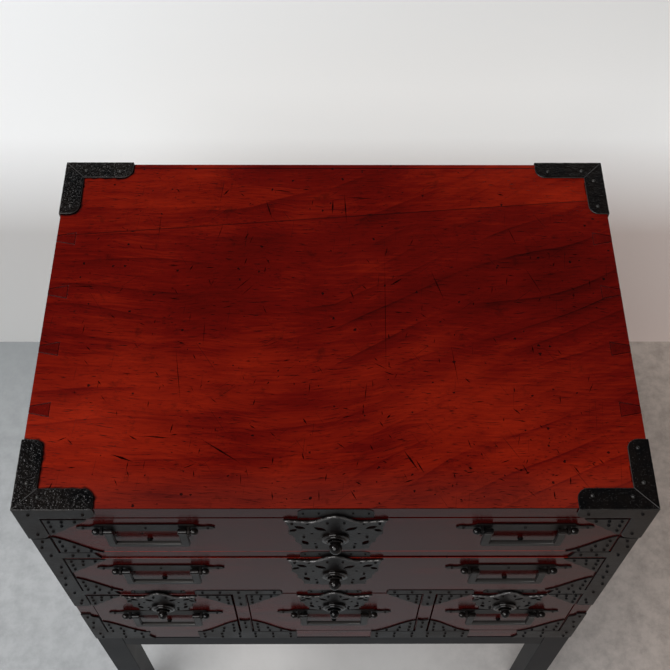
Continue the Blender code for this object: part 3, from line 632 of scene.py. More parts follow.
# A profile of (radius, distance along the axis) points in millimetres, spun about an axis through centre
def turned(name, profile, axis, centre, steps=28, closed=False):
    mesh = bpy.data.meshes.new(name)
    edges = [(index, index + 1) for index in range(len(profile) - 1)]
    if closed:
        edges.append((len(profile) - 1, 0))
    mesh.from_pydata([(radius * mm, 0, along * mm) for radius, along in profile], edges, [])
    piece = linked(name, mesh)
    spin = {"steps": steps, "angle": 2 * math.pi, "center": (0, 0, 0), "axis": (0, 0, 1)}
    editMesh(piece, (bpy.ops.mesh.spin, spin),
             (bpy.ops.mesh.remove_doubles, {"threshold": merge["spun"] * mm}),
             (bpy.ops.mesh.normals_make_consistent, {"inside": False}))
    piece.data.transform(Matrix.Translation(centre) @ turnTo(axis))
    bpy.ops.object.shade_smooth_by_angle(angle=math.radians(35))
    return piece


# Dome nail heads; the master is a flattened half ball that is copied to each place
nailHead = {"radius": 1.7, "height": 1.5, "sides": 10, "rings": 6}


def makeNailMaster():
    size = nailHead
    nail = added(bpy.ops.mesh.primitive_uv_sphere_add, segments=size["sides"], ring_count=size["rings"],
                 radius=size["radius"] * mm)
    half = {"plane_co": (0, 0, 0), "plane_no": (0, 0, 1), "clear_inner": True, "use_fill": True}
    editMesh(nail, (bpy.ops.mesh.bisect, half),
             (bpy.ops.transform.resize, {"value": (1, 1, size["height"] / size["radius"])}),
             (bpy.ops.mesh.normals_make_consistent, {"inside": False}))
    bpy.ops.object.shade_smooth_by_angle(angle=math.radians(50))
    nail.name = "nail_master"
    return nail


nailMaster = makeNailMaster()


# Copies of the nail at places, each pointing along way
def driveNails(name, places, way=(0, -1, 0), share=1.0):
    nails = []
    for index, place in enumerate(places):
        mesh = nailMaster.data.copy()
        mesh.transform(Matrix.Translation(place) @ turnTo(way) @ Matrix.Scale(share, 4))
        nails.append(linked(f"{name}_{index}", mesh))
    return joinAs(name, nails)


# Sheet nailed flat on the wood at depth, with its nails given across and up
def nailedSheet(name, outlines, nails, depth, thickness, edge=0.2, share=1.0):
    plates = cutSheet(f"{name}_sheet", outlines, depth, thickness, edge)
    heads = driveNails(f"{name}_nails", [(x, depth - thickness * mm, z) for x, z in nails], share=share)
    return joinAs(name, [coat(plates, sheetFinish), coat(heads, nailIron)])


# Carcass boards, with edges eased by wear; the rebate gives depth and height of a shadow line along the foot
boardWear = {"ease": 0.35, "topEase": 0.6, "rebate": (1.6, 3.2)}
boards = {
    "bottom_board": lacquerLong, "left_side": lacquerUpright, "right_side": lacquerUpright,
    "upper_shelf": lacquerLong, "lower_shelf": lacquerLong,
    "left_divider": lacquerUpright, "right_divider": lacquerUpright,
}
rebated = ("bottom_board", "left_side", "right_side")
# Front edges that drawers slide over: how far they are rounded, and what shows there: painted shade along
# the gaps below the drawers, and a painted highlight on the upper shelf's edge
lips = {"bottom_board": (2.2, grimeAndShade), "lower_shelf": (1.2, grimeAndShade), "upper_shelf": (1.2, litLacquerEdge)}


def makeBoards():
    for node, finish in boards.items():
        piece = copyOfNode(node, f"{node}_lacquered")
        if node in lips:
            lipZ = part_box(node)[1].z
            roundEdges(piece, lambda ends: all(abs(end.y - frontY) < near and abs(end.z - lipZ) < near
                                               for end in ends), lips[node][0], segments=2)
        if node in rebated:
            depth, height = (size * mm for size in boardWear["rebate"])
            cutter = added(bpy.ops.mesh.primitive_cube_add, size=2)
            cutter.data.transform(Matrix.LocRotScale((0, frontY, bottomLow.z), None,
                                                     (2 * halfWidth, depth, height)))
            carve(piece, cutter)
        easeEdges(piece, boardWear["ease"])
        # What shows at the front takes the drawer fronts' darker copy of the lacquer: painted shade
        coatFaces(coat(piece, finish), shadedLacquerFace, facesFront)
        if node in lips:
            coatFaces(piece, lips[node][1], facesUpAndFront)
        settle(piece, bodyOf[node], "lacquered_keyaki", node)
    piece = copyOfNode("back_board", "back_board_planed")
    easeEdges(piece, boardWear["ease"])
    settle(coat(piece, paulownia), bodyOf["back_board"], "paulownia", "back_board")


# Dents and gouges of the top: place from the left and the back edge, length, width and turn in degrees
topMarks = {
    "depth": 0.45,
    "gouges": (
        (365, 160, 20, 2.2, 35), (96, 363, 27, 2.6, -20), (190, 356, 54, 1.9, -33), (128, 341, 32, 1.8, -5),
        (372, 366, 30, 2.2, -58), (380, 372, 20, 1.6, -62), (270, 324, 9, 2.0, -60), (352, 319, 7, 2.2, 50),
        (476, 376, 4, 2.6, 10), (428, 374, 5, 2.4, -30), (482, 379, 5, 2.0, 20), (204, 162, 30, 1.0, 46),
        (209, 170, 24, 0.8, 48), (228, 64, 30, 1.7, -74), (298, 60, 24, 2.2, 88), (312, 62, 46, 1.6, -87),
        (328, 48, 34, 1.7, -4), (180, 40, 12, 2.2, 55), (242, 38, 28, 1.6, -8), (484, 43, 9, 2.2, -20),
        (38, 166, 34, 1.3, -2), (352, 200, 190, 0.7, 89), (408, 165, 46, 1.3, -72), (143, 272, 75, 0.8, -82),
        (510, 160, 48, 0.9, -66), (176, 95, 26, 0.9, 76), (110, 88, 40, 0.7, 89), (330, 292, 26, 0.9, 84),
        (420, 260, 60, 0.7, -84), (166, 222, 34, 0.8, 90), (345, 262, 22, 1.0, -30),
        (492, 100, 30, 1.0, -72),
    ),
    "strays": 240, "strayLength": (2, 15), "strayWidth": (0.6, 1.6), "strayAcross": (30, 570),
    "strayInward": (12, 402), "strayTowardFront": 0.6, "seed": 11,
    "strayTurns": ((0, 14), (-62, 18), (80, 12)),      # mean and spread of the three ways they lie
}


def makeTop():
    marks = topMarks
    rng = random.Random(marks["seed"])
    gouges = list(marks["gouges"])
    first, last = marks["strayInward"]
    for stray in range(marks["strays"]):
        across = rng.uniform(*marks["strayAcross"])
        inward = first + (last - first) * rng.random() ** marks["strayTowardFront"]
        length, width = rng.uniform(*marks["strayLength"]), rng.uniform(*marks["strayWidth"])
        angle = rng.choice([rng.gauss(*way) for way in marks["strayTurns"]])
        gouges.append((across, inward, length, width, angle))
    cutters = []
    for across, inward, length, width, angle in gouges:
        cutter = added(bpy.ops.mesh.primitive_uv_sphere_add, segments=4, ring_count=2, radius=1)
        cutter.data.transform(Matrix.LocRotScale(
            (across * mm - halfWidth, topHigh.y - inward * mm, chestTop),
            Matrix.Rotation(math.radians(angle), 3, "Z"),
            (length * mm / 2, width * mm / 2, marks["depth"] * mm)))
        cutters.append(cutter)
    piece = copyOfNode("top_board", "top_board_lacquered")
    easeEdges(piece, boardWear["topEase"])
    coat(piece, lacquerTop)
    carve(piece, coat(joinAs("gouge_cutter", cutters), grimeAndShade), material_mode="TRANSFER", use_self=True)
    smoothEdges(piece, 35)
    # Its front edge takes the darker front lacquer: painted shade
    coatFaces(piece, shadedLacquerFace, facesFront)
    settle(piece, bodyOf["top_board"], "lacquered_keyaki", "top_board")


makeBoards()
makeTop()
print("boards ready")


# Stand of square steel tube with rounded edges
standTube = {"ease": 0.9}


def makeStand():
    legs = [f"{end}_{side}_leg" for end in ("front", "back") for side in ("left", "right")]
    for node in legs + ["front_rail", "back_rail", "left_rail", "right_rail"]:
        piece = copyOfNode(node, f"{node}_painted")
        easeEdges(piece, standTube["ease"], segments=3)
        settle(coat(piece, satinBlack), bodyOf[node], "black_paint", node)


makeStand()
print("stand ready")


# Straps over the top corners: round inner ends, a mitre seam on top, a hammered top and dome nails
cornerStraps = {
    "reach": (74, 71, 72), "width": 20, "round": 11, "ease": 0.6,
    "seamWidth": 0.8, "seamDepth": 0.35, "seamReach": 1.2,
    "grid": 1.8, "dent": 0.4, "dentSize": 2.6, "topNailShare": 1.25, "edgeTurn": 0.95,
    "topNails": ((22, 11), (60, 12), (10, 25), (10, 61)), "faceNails": ((12, 10), (63, 10), (10, 60)),
}


# Hammer dents: the strap is cut into a fine grid whose points are pushed in and out on top
def hammerTop(piece, low, high):
    size = cornerStraps
    step = size["grid"] * mm
    cuts = []
    for axis in range(3):
        normal = [float(axis == index) for index in range(3)]
        for index in range(1, int((high[axis] - low[axis]) / step) + 1):
            place = [(high[axis] - index * step) * value for value in normal]
            cuts.append((bpy.ops.mesh.bisect, {"plane_co": place, "plane_no": normal}))
    editMesh(piece, *cuts)
    dents = bpy.data.textures.new("hammer_dents", "CLOUDS")
    dents.noise_scale = size["dentSize"] * mm
    dents.noise_depth = 1
    top = piece.vertex_groups.new(name="top")
    topZ = high.z - size["ease"] * 2 * mm
    top.add([point.index for point in piece.data.vertices if point.co.z > topZ], 1.0, "REPLACE")
    push = piece.modifiers.new("Hammered", "DISPLACE")
    push.vertex_group = top.name
    push.texture = dents
    push.texture_coords = "LOCAL"
    push.strength = size["dent"] * mm
    push.mid_level = 0.5
    applyModifiers(piece)
    piece.vertex_groups.clear()
    bpy.ops.mesh.customdata_custom_splitnormals_clear()
    bpy.ops.object.shade_smooth_by_angle(angle=math.radians(50))


def makeStrap(end, endSign, side, sideSign):
    size = cornerStraps
    node = f"{end}_{side}_strap"
    low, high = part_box(node)
    corner = Vector((sideSign * halfWidth, middleY + endSign * halfDepth, chestTop))
    inward = Vector((-sideSign, -endSign, -1))
    limits = [reach * mm for reach in size["reach"]]
    width = size["width"] * mm

    def atLegEnd(ends):
        places = [(point - corner) * inward for point in ends]
        return any(all(abs(place[leg] - limits[leg]) < near and abs(place[across] - width) < near
                       for place in places) for leg in range(3) for across in range(3) if leg != across)

    piece = copyOfNode(node, f"{node}_iron")
    roundEdges(piece, atLegEnd, size["round"], segments=6)
    easeEdges(piece, size["ease"], angle=50)
    # The eased edges are rubbed, and only the top was left rough; the top carries painted glints
    coat(piece, hammeredIron)
    coatFaces(piece, wornEdgeIron, lambda face: max(abs(value) for value in face.normal) < size["edgeTurn"])
    coatFaces(piece, sheetFinish, lambda face: face.material_index == 0 and abs(face.normal.z) < level)
    hammerTop(piece, low, high)
    # The seam runs from the outer corner to the inner one; its faces take the pale ridge iron, a painted
    # highlight
    across = Vector((inward.x, inward.y, 0)) * width
    middle = corner + across / 2
    cutter = added(bpy.ops.mesh.primitive_cube_add, size=1)
    cutter.data.transform(Matrix.LocRotScale(
        (middle.x, middle.y, high.z), Matrix.Rotation(sideSign * endSign * quarter / 2, 3, "Z"),
        (size["seamReach"] * across.length, size["seamWidth"] * mm, 2 * size["seamDepth"] * mm)))
    carve(piece, coat(cutter, ridgeIron), material_mode="TRANSFER")
    # Nails on the top, the front or back and the side: the two ways they are spread, and the way they point
    parts = [piece]
    for spots, spread, way, share, finish in (
            (size["topNails"], (0, 1), (0, 0, 1), size["topNailShare"], wornEdgeIron),
            (size["faceNails"], (0, 2), (0, endSign, 0), 1.0, nailIron),
            (size["faceNails"], (1, 2), (sideSign, 0, 0), 1.0, nailIron)):
        places = []
        for spot in spots:
            place = Vector([(high if way[axis] > 0 else low)[axis] for axis in range(3)])
            for axis, distance in zip(spread, spot):
                place[axis] = corner[axis] + inward[axis] * distance * mm
            places.append(place)
        parts.append(coat(driveNails(f"{node}_nails", places, way, share), finish))
    settle(joinAs(f"{node}_hammered", parts), bodyOf[node], "black_iron", node)


for end, endSign in (("front", -1), ("back", 1)):
    for side, sideSign in (("left", -1), ("right", 1)):
        makeStrap(end, endSign, side, sideSign)
print("straps ready")


# Irons nailed to the front of the carcass; drops are measured down from the top of the chest, and nails are
# given across and up from a plate's middle and ends
frameIrons = {
    "thickness": 1.8, "post": 19.4, "bow": 1.6, "edgeGap": 0.2, "railGap": 0.3,
    "dividerGap": 0.9, "footGap": 3.4,
    "posts": ((72.3, 182), (182.4, 288)), "branchReach": 58, "branchTip": (-2, 3), "branchNails": (10, 26),
    "postNails": ((0, -8), (4, -4), (0, 0), (-3, 0), (0, 10)),
    "foot": 322, "footReach": 73, "footTip": (-3, 4, 2), "footShoulder": (8, 12),
    "footNails": ((3, -10), (0, -32), (4, -52), (0, -6), (-1, 7)), "toeNails": (34, 12), "toeInset": 7,
    "teeReach": 49, "teeStem": 288, "teeSlope": 2, "teeNails": (-0.82, -0.42, 0.0, 0.42, 0.82),
    "stemNails": (-12, 6),
    "archTop": 342, "archReach": 61, "archSpring": 4, "archNails": (-0.88, -0.52, -0.16, 0.16, 0.52, 0.88),
    "archInset": 8, "crownNails": (-14, -6),
}


def makeFrameIrons():
    size = frameIrons
    bow, gap = size["bow"] * mm, size["railGap"] * mm
    outerX, innerX = halfWidth - size["edgeGap"] * mm, halfWidth - size["post"] * mm
    middle = halfWidth - size["post"] * mm / 2
    rails = [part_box(node) for node in ("upper_shelf", "lower_shelf")]
    outlines, nails = [], []
    # Post plates, each with a branch along a rail
    tip = halfWidth - size["branchReach"] * mm
    under, over = (tip + away * mm for away in size["branchTip"])
    for (start, end), (railLow, railHigh) in zip(size["posts"], rails):
        top, foot = chestTop - start * mm, chestTop - end * mm
        low, high = railLow.z + gap, railHigh.z - gap
        outlines.append([(outerX, top), (outerX, foot), *bowed((outerX, foot), (innerX, foot + bow), bow),
                         (innerX, low), (under, low), *bowed((under, low), (over, high), -bow / 2),
                         (innerX, high), (innerX, top + bow),
                         *bowed((innerX, top + bow), (outerX, top), -bow)[:-1]])
        levels = (top, (top + high) / 2, (high + low) / 2, (low + foot) / 2, foot)
        nails += [(middle + x * mm, level + z * mm) for (x, z), level in zip(size["postNails"], levels)]
        nails += [(tip + x * mm, (high + low) / 2) for x in size["branchNails"]]
    # Foot plates round the lower corners
    top, foot, high = chestTop - size["foot"] * mm, bottomLow.z + size["footGap"] * mm, bottomHigh.z - gap
    tip = halfWidth - size["footReach"] * mm
    toe, notch, heel = (tip + away * mm for away in size["footTip"])
    across, drop = (length * mm for length in size["footShoulder"])
    outlines.append([(outerX, top), (outerX, foot), (toe, foot),
                     *bowed((toe, foot), (notch, (high + foot) / 2), -bow),
                     *bowed((notch, (high + foot) / 2), (heel, high), bow),
                     (innerX, high), (innerX, top - drop),
                     *bowed((innerX, top - drop), (innerX + across, top), -2 * bow)])
    levels = (top, top, top, high, foot)
    nails += [(middle + x * mm, level + z * mm) for (x, z), level in zip(size["footNails"], levels)]
    inset = size["toeInset"] * mm
    nails += [(tip + x * mm, z) for x in size["toeNails"] for z in (high - inset, foot + inset)]
    # T plates over the dividers
    dividerLow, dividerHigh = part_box("right_divider")
    left, right = dividerLow.x + size["dividerGap"] * mm, dividerHigh.x - size["dividerGap"] * mm
    centre = (left + right) / 2
    reach, slope, stem = size["teeReach"] * mm, size["teeSlope"] * mm, chestTop - size["teeStem"] * mm
    low, railHigh = rails[1][0].z + gap, rails[1][1].z - gap
    outlines.append([(centre - reach, low), (left, low), (left, stem),
                     *bowed((left, stem), (right, stem), -2 * bow), (right, low), (centre + reach, low),
                     *bowed((centre + reach, low), (centre + reach - slope, railHigh), -bow / 2),
                     (centre - reach + slope, railHigh)])
    nails += [(centre + share * reach, (railHigh + low) / 2) for share in size["teeNails"]]
    nails += [(centre, level + z * mm) for level, z in zip((low, stem), size["stemNails"])]
    # Arched plates at their feet
    reach, arch = size["archReach"] * mm, chestTop - size["archTop"] * mm
    spring, inset = arch - size["archSpring"] * mm, size["archInset"] * mm
    outlines.append([(centre - reach, foot), (centre + reach, foot), (centre + reach, high), (right, high),
                     (right, spring), *bowed((right, spring), (left, spring), 1.6 * bow), (left, high),
                     (centre - reach, high)])
    nails += [(centre + share * reach, z) for share in size["archNails"]
              for z in (high - inset, foot + inset)]
    nails += [(centre, level + z * mm) for level, z in zip((arch, (arch + high) / 2), size["crownNails"])]
    both = [handed(outline, side) for side in (-1, 1) for outline in outlines]
    spots = handed(nails, -1) + nails
    settle(nailedSheet("frame_irons", both, spots, frontY, size["thickness"]), "chest", "black_iron")


# Thin strike plates on the boards, behind the peaks of the lock plates
strikes = {"half": 36, "clip": (9, 6.3), "bulge": 1.5, "thickness": 0.5, "edge": 0.1, "gaps": (0.4, 0.6),
           "smallShare": 0.84, "nails": (-0.86, -0.45, 0.45, 0.86), "nailShare": 0.7,
           "above": {"upper": "top_board", "middle": "upper_shelf"}}


def makeStrikes():
    size = strikes
    clipX, clipZ = (length * mm for length in size["clip"])
    bulge = -size["bulge"] * mm
    outlines, nails = [], []
    for name in drawerNames:
        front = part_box(f"{name}_drawer_front")
        centre = (front[0].x + front[1].x) / 2
        boardLow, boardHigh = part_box(size["above"].get(name, "lower_shelf"))
        low, high = boardLow.z + size["gaps"][0] * mm, boardHigh.z - size["gaps"][1] * mm
        half = size["half"] * mm * (1.0 if name in wideDrawers else size["smallShare"])
        left, right = centre - half, centre + half
        outlines.append([(left, low), (right, low), (right, high - clipZ),
                         *bowed((right, high - clipZ), (right - clipX, high), bulge), (left + clipX, high),
                         *bowed((left + clipX, high), (left, high - clipZ), bulge)])
        nails += [(centre + share * half, (low + high) / 2) for share in size["nails"]]
    piece = nailedSheet("strike_plates", outlines, nails, frontY, size["thickness"], size["edge"],
                        size["nailShare"])
    settle(piece, "chest", "black_iron")


makeFrameIrons()
makeStrikes()
print("frame irons ready")


# Drawer fronts and boxes
drawerBox = {"frontEase": 0.9, "trayEase": 0.5}


def makeDrawerBox(name):
    node = f"{name}_drawer_front"
    front = copyOfNode(node, f"{node}_lacquered")
    easeEdges(front, drawerBox["frontEase"])
    # The front takes the darker front lacquer: painted shade
    coat(front, shadedLacquerFace)
    if name == "middle":
        coatFaces(front, litLacquerEdge, facesUpAndFront)     # painted highlight where the upper edges face up and to the front
    # The upright eased edges are painted dark: painted shade that widens the gaps round the drawer
    coatFaces(front, grimeAndShade, lambda face: abs(face.normal.x) > lean and face.normal.y < -lean)
    settle(front, bodyOf[node], "lacquered_keyaki", node)
    node = f"{name}_drawer_tray"
    low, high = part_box(node)
    tray = copyOfNode(node, f"{node}_planed")
    easeEdges(tray, drawerBox["trayEase"])
    # The grain of floor and back runs along the width, and that of the sides along the depth
    coatFaces(coat(tray, paulowniaTray), paulownia, lambda face: abs(face.normal.y) > square or (
        abs(face.normal.z) > square and face.center.z < (low.z + high.z) / 2))
    settle(tray, bodyOf[node], "paulownia", node)
    frame["nodes"][f"{name}_lock_bolt"].material_slots[0].material = forgedIron


# Corner plates of the drawer fronts: right triangles, given across and down, with a shaped long edge
cornerPlates = {
    "thickness": 1.3, "inset": 0.9, "scallops": 4, "bulge": 1.1,
    "wide": {"top": (42, 40), "bottom": (44, 43)}, "small": {"top": (37, 37), "bottom": (46, 44)},
    "nails": ((0.13, 0.13), (0.42, 0.12), (0.72, 0.12), (0.12, 0.42), (0.12, 0.72), (0.38, 0.38)),
}


def makeCornerPlates(name, kind):
    size = cornerPlates
    low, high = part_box(f"{name}_drawer_front")
    inset = size["inset"] * mm
    outlines, nails = [], []
    for place, z, down in (("top", high.z - inset, -1), ("bottom", low.z + inset, 1)):
        across, drop = (length * mm for length in size[kind][place])
        for x, side in ((low.x + inset, 1), (high.x - inset, -1)):
            start, end = (x + side * across, z), (x, z + down * drop)
            bulge = -side * down * size["bulge"] * mm
            edge = scalloped(start, end, size["scallops"], bulge) if place == "top" else ogee(start, end)
            outlines.append([(x, z), start] + edge)
            nails += [(x + side * a * across, z + down * b * drop) for a, b in size["nails"]]
    piece = nailedSheet(f"{name}_corner_plates", outlines, nails, low.y, size["thickness"])
    settle(piece, bodyOf[f"{name}_drawer_front"], "black_iron")


# Lock plates: pierced shield with a wavy top, a rope edge along the wave and a ringed boss round the button.
# Places are shares of the half width and of the height, down from the top of the drawer.
lockPlates = {
    "wide": (100, 81), "small": (86, 54), "bore": 4.3, "thickness": 1.5, "gap": 0.3,
    "peak": 9.5, "tip": -1, "dip": -4, "waveSteps": 36, "scallop": 2.5, "foot": 4,
    "cusps": ((0.92, 0.45), (0.80, 0.70), (0.68, 0.95)),
    "rope": 1.5, "ropeTurns": 13, "ropeReach": 0.97, "ropeDrop": 1.4, "ropeSwell": (0.6, 0.4),
    "turnSteps": 6,
    "leaves": ((0.69, 0.24, 35, 10, 5.0), (0.82, 0.33, -40, 7.5, 4.4), (0.30, 0.29, 40, 12, 5.0),
               (0.60, 0.74, 66, 10, 4.8)),     # place, turn in degrees, length and width
    "leafShare": {"wide": 1.3, "small": 1.0},
    "dots": ((0.54, 0.13), (0.46, 0.44), (0.40, 0.78)), "dotRadius": 1.5,
    "nails": ((0.84, 0.12), (0.62, 0.55), (0.38, 0.90), (0.16, 0.10)), "nailShare": 0.9,
    "openingShade": ((0.91, 0.12), (0.84, 0.45), (0.72, 0.70), (0.58, 0.88)), "openingShadeDepth": 0.05,
    "openingShadeThickness": 0.1, "openingShadeEdge": 0.02,
    "boss": ((13.0, 0.7), (13.0, -0.6), (13.6, -1.2), (13.8, -1.9), (13.4, -2.6), (12.6, -2.9), (11.6, -2.8),
             (11.0, -3.1), (10.8, -3.8), (10.2, -4.3), (9.4, -4.4), (8.4, -4.2), (7.8, -3.6), (7.7, 0.7)),
}


def lockWave(share):
    size = lockPlates
    out = abs(share)
    if out <= 0.5:
        height = size["dip"] + (size["peak"] - size["dip"]) * (1 + math.cos(2 * math.pi * out)) / 2
    else:
        height = size["dip"] + (size["tip"] - size["dip"]) * (1 - math.cos(2 * math.pi * (out - 0.5))) / 2
    return height * mm


def leafOutline(x, z, angle, length, width):
    reach = Vector((math.cos(math.radians(angle)), math.sin(math.radians(angle)))) * length * mm / 2
    first, last = Vector((x, z)) - reach, Vector((x, z)) + reach
    return bowed(first, last, width * mm / 2) + bowed(last, first, width * mm / 2)


# Rope edge: a cord along the wave whose thickness swells and narrows
def makeRope(name, half, centre, front, top):
    size = lockPlates
    rope = bpy.data.curves.new(name, "CURVE")
    rope.dimensions = "3D"
    rope.bevel_depth = size["rope"] * mm
    rope.bevel_resolution = 2
    rope.use_fill_caps = True
    steps = size["turnSteps"] * size["ropeTurns"]
    spline = rope.splines.new("POLY")
    spline.points.add(steps)
    thin, swell = size["ropeSwell"]
    for index, point in enumerate(spline.points):
        share = size["ropeReach"] * (2 * index / steps - 1)
        point.co = (centre + share * half, front, top + lockWave(share) - size["ropeDrop"] * mm, 1)
        point.radius = thin + swell * abs(math.sin(math.pi * index / size["turnSteps"]))
    piece = meshOfCurve(name, rope)
    closeMesh(piece)
    bpy.ops.object.shade_smooth_by_angle(angle=math.radians(60))
    return piece


def makeLockPlate(name, kind):
    size = lockPlates
    low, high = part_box(f"{name}_drawer_front")
    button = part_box(f"{name}_lock_plunger")
    centre, top = (low.x + high.x) / 2, high.z
    lockZ = (button[0].z + button[1].z) / 2
    half, tall = size[kind][0] * mm / 2, size[kind][1] * mm
    back = low.y - size["gap"] * mm
    front = back - size["thickness"] * mm

    def placed(points):
        return [(centre + x, top + z) for x, z in points]

    shares = [2 * index / size["waveSteps"] - 1 for index in range(size["waveSteps"] + 1)]
    cusps = [(half, size["tip"] * mm)] + [(x * half, -z * tall) for x, z in size["cusps"]]
    right = []
    for first, last in zip(cusps, cusps[1:]):
        right += bowed(first, last, -size["scallop"] * mm)
    lastX, lastZ = cusps[-1]
    shield = [(share * half, lockWave(share)) for share in shares] + right
    shield += bowed((lastX, lastZ), (-lastX, lastZ), size["foot"] * mm, steps=12)
    shield += handed(reversed(right), -1)[1:]
    bore = ring((centre, lockZ), size["bore"] * mm, steps=24)
    outlines = [placed(shield), bore]
    share = size["leafShare"][kind]
    for side in (-1, 1):
        for x, z, angle, length, width in size["leaves"]:
            turn = angle if side > 0 else 180 - angle
            leaf = leafOutline(side * x * half, -z * tall, turn, length * share, width * share)
            outlines.append(placed(leaf))
        for x, z in size["dots"]:
            outlines.append(placed(ring((side * x * half, -z * tall), size["dotRadius"] * mm, steps=10)))
    plate = cutSheet(f"{name}_lock_sheet", outlines, back, size["thickness"])
    # A dark sheet behind the openings makes them show black: painted shade
    edge = [(x * half, -z * tall) for x, z in size["openingShade"]]
    openingShade = cutSheet(f"{name}_lock_opening_shade", [placed(edge + handed(reversed(edge), -1)), bore],
                    low.y - size["openingShadeDepth"] * mm, size["openingShadeThickness"], size["openingShadeEdge"])
    rope = makeRope(f"{name}_rope", half, centre, front, top)
    boss = turned(f"{name}_boss", size["boss"], (0, 1, 0), (centre, front, lockZ), steps=36, closed=True)
    spots = [(centre + side * x * half, front, top - z * tall) for side in (-1, 1) for x, z in size["nails"]]
    heads = driveNails(f"{name}_lock_nails", spots, share=size["nailShare"])
    # The rope takes the pale ridge iron, a painted highlight, and the sheet behind the openings the dark
    # finish, a painted shade
    finishes = (forgedIron, ridgeIron, burnishedIron, nailIron, grimeAndShade)
    parts = [coat(part, finish) for part, finish in zip((plate, rope, boss, heads, openingShade), finishes)]
    node = f"{name}_lock_plate"
    settle(joinAs(f"{node}_pierced", parts), bodyOf[node], "black_iron", node)


# Lock button: ball on a collar, with the stem, flange and tail that work the bolt; pairs run along the axis
lockButton = {"wide": {"ball": 6.5, "collar": 7.2}, "small": {"ball": 5.3, "collar": 5.6},
              "collarSpan": (8.1, 6.6), "collarRim": (0.5, 0.4), "stem": 4.0, "flange": (6.0, 0.5, 2.0),
              "tail": (3.0, 15.3), "tailRim": 0.4, "steps": 12}


def makeLockButton(name, kind):
    size = lockButton
    ball, collar = size[kind]["ball"], size[kind]["collar"]
    front, back = size["collarSpan"]
    rimIn, rimAlong = size["collarRim"]
    node = f"{name}_lock_plunger"
    low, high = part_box(node)
    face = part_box(f"{name}_drawer_front")[0].y
    ballCentre = ball - (face - low.y) / mm
    sweep = math.pi - math.acos((-front - ballCentre) / ball)
    angles = [sweep * index / size["steps"] for index in range(size["steps"] + 1)]
    profile = [(ball * math.sin(angle), ballCentre - ball * math.cos(angle)) for angle in angles]
    profile += [(collar - rimIn, -front), (collar, -front + rimAlong), (collar, -back - rimAlong),
                (collar - rimIn, -back), (size["stem"], -back)]
    radius, start, end = size["flange"]
    profile += [(size["stem"], start), (radius, start), (radius, end)]
    radius, tail = size["tail"]
    rim = size["tailRim"]
    profile += [(radius, end), (radius, tail - rim), (radius - rim, tail), (0, tail)]
    centre = ((low.x + high.x) / 2, face, (low.z + high.z) / 2)
    piece = turned(f"{name}_lock_button", profile, (0, 1, 0), centre, steps=32)
    settle(coat(piece, burnishedIron), bodyOf[node], "black_iron", node)


# Handle plates with bored posts, bails with rolled eyes and barrel ends, and the stud behind each bail
handles = {
    "plateThickness": 1.2, "gap": 0.3, "bodyHalf": 47, "tipHalf": 67, "height": 16,
    "neck": 3.0, "neckBack": 9.6, "waist": 1.8, "lobe": 2.2, "nails": (-60, 0, 60), "nailShare": 0.85,
    "axisReach": 5.2, "postStart": 40.3, "postWidth": 3.0, "postRadius": 3.6, "postFoot": 0.6,
    "postEdge": 0.4, "postSteps": 12, "bore": 2.1,
    "bailHalf": 40, "arm": 8.5, "bar": 7.5, "depth": 4.0, "drop": 36, "head": 2.4, "headClip": 1.0,
    "corner": 2.6, "cornerBulge": 0.52, "bailEase": 0.9,
    "pin": 1.8, "eye": 2.9, "eyeRim": 0.5, "play": 0.3,
    "barrel": ((2.5, 0.1), (3.1, 0.8), (3.4, 2.0), (3.5, 3.4), (3.4, 4.8), (3.0, 6.0), (2.2, 6.9),
               (1.1, 7.4), (0, 7.5)),
    "stud": ((0, -2.9), (1.6, -2.65), (2.4, -2.0), (2.4, -1.2), (3.0, -0.9), (3.0, 0.2), (0, 0.2)),
}


def handlePlateOutline(centre, axisZ):
    size = handles
    body, tip, half = size["bodyHalf"] * mm, size["tipHalf"] * mm, size["height"] * mm / 2
    neck, neckX = size["neck"] * mm, tip - size["neckBack"] * mm
    quarterEdge = [(body, half), *bowed((body, half), (neckX, neck), -size["waist"] * mm)]
    quarterEdge += bowed((neckX, neck), (tip, 0), size["lobe"] * mm, steps=8)
    right = quarterEdge + [(x, -z) for x, z in reversed(quarterEdge[:-1])]
    return [(centre + side * x, axisZ + side * z) for side in (1, -1) for x, z in right]


def makeHandlePlate(node, centre, face, axisY, axisZ):
    size = handles
    back = face - size["gap"] * mm
    front = back - size["plateThickness"] * mm
    parts = [cutSheet(f"{node}_sheet", [handlePlateOutline(centre, axisZ)], back, size["plateThickness"])]
    radius, rootY = size["postRadius"] * mm, back - size["postFoot"] * mm
    angles = [math.pi * (index / size["postSteps"] - 0.5) for index in range(size["postSteps"] + 1)]
    edge = [(axisY - radius * math.cos(angle), axisZ + radius * math.sin(angle)) for angle in angles]
    edge = [(rootY, axisZ - radius), *edge, (rootY, axisZ + radius)]
    hole = ring((axisY, axisZ), size["bore"] * mm, steps=16)
    for side in (-1, 1):
        middle = centre + side * (size["postStart"] + size["postWidth"] / 2) * mm
        parts.append(cutSheet(f"{node}_post", [edge, hole], middle, size["postWidth"], size["postEdge"],
                              "side"))
    spots = [(centre + x * mm, front, axisZ) for x in size["nails"]]
    parts.append(driveNails(f"{node}_nails", spots, share=size["nailShare"]))
    piece = coat(joinAs(f"{node}_forged", parts), sheetFinish)
    settle(piece, bodyOf[node], "black_iron", node)


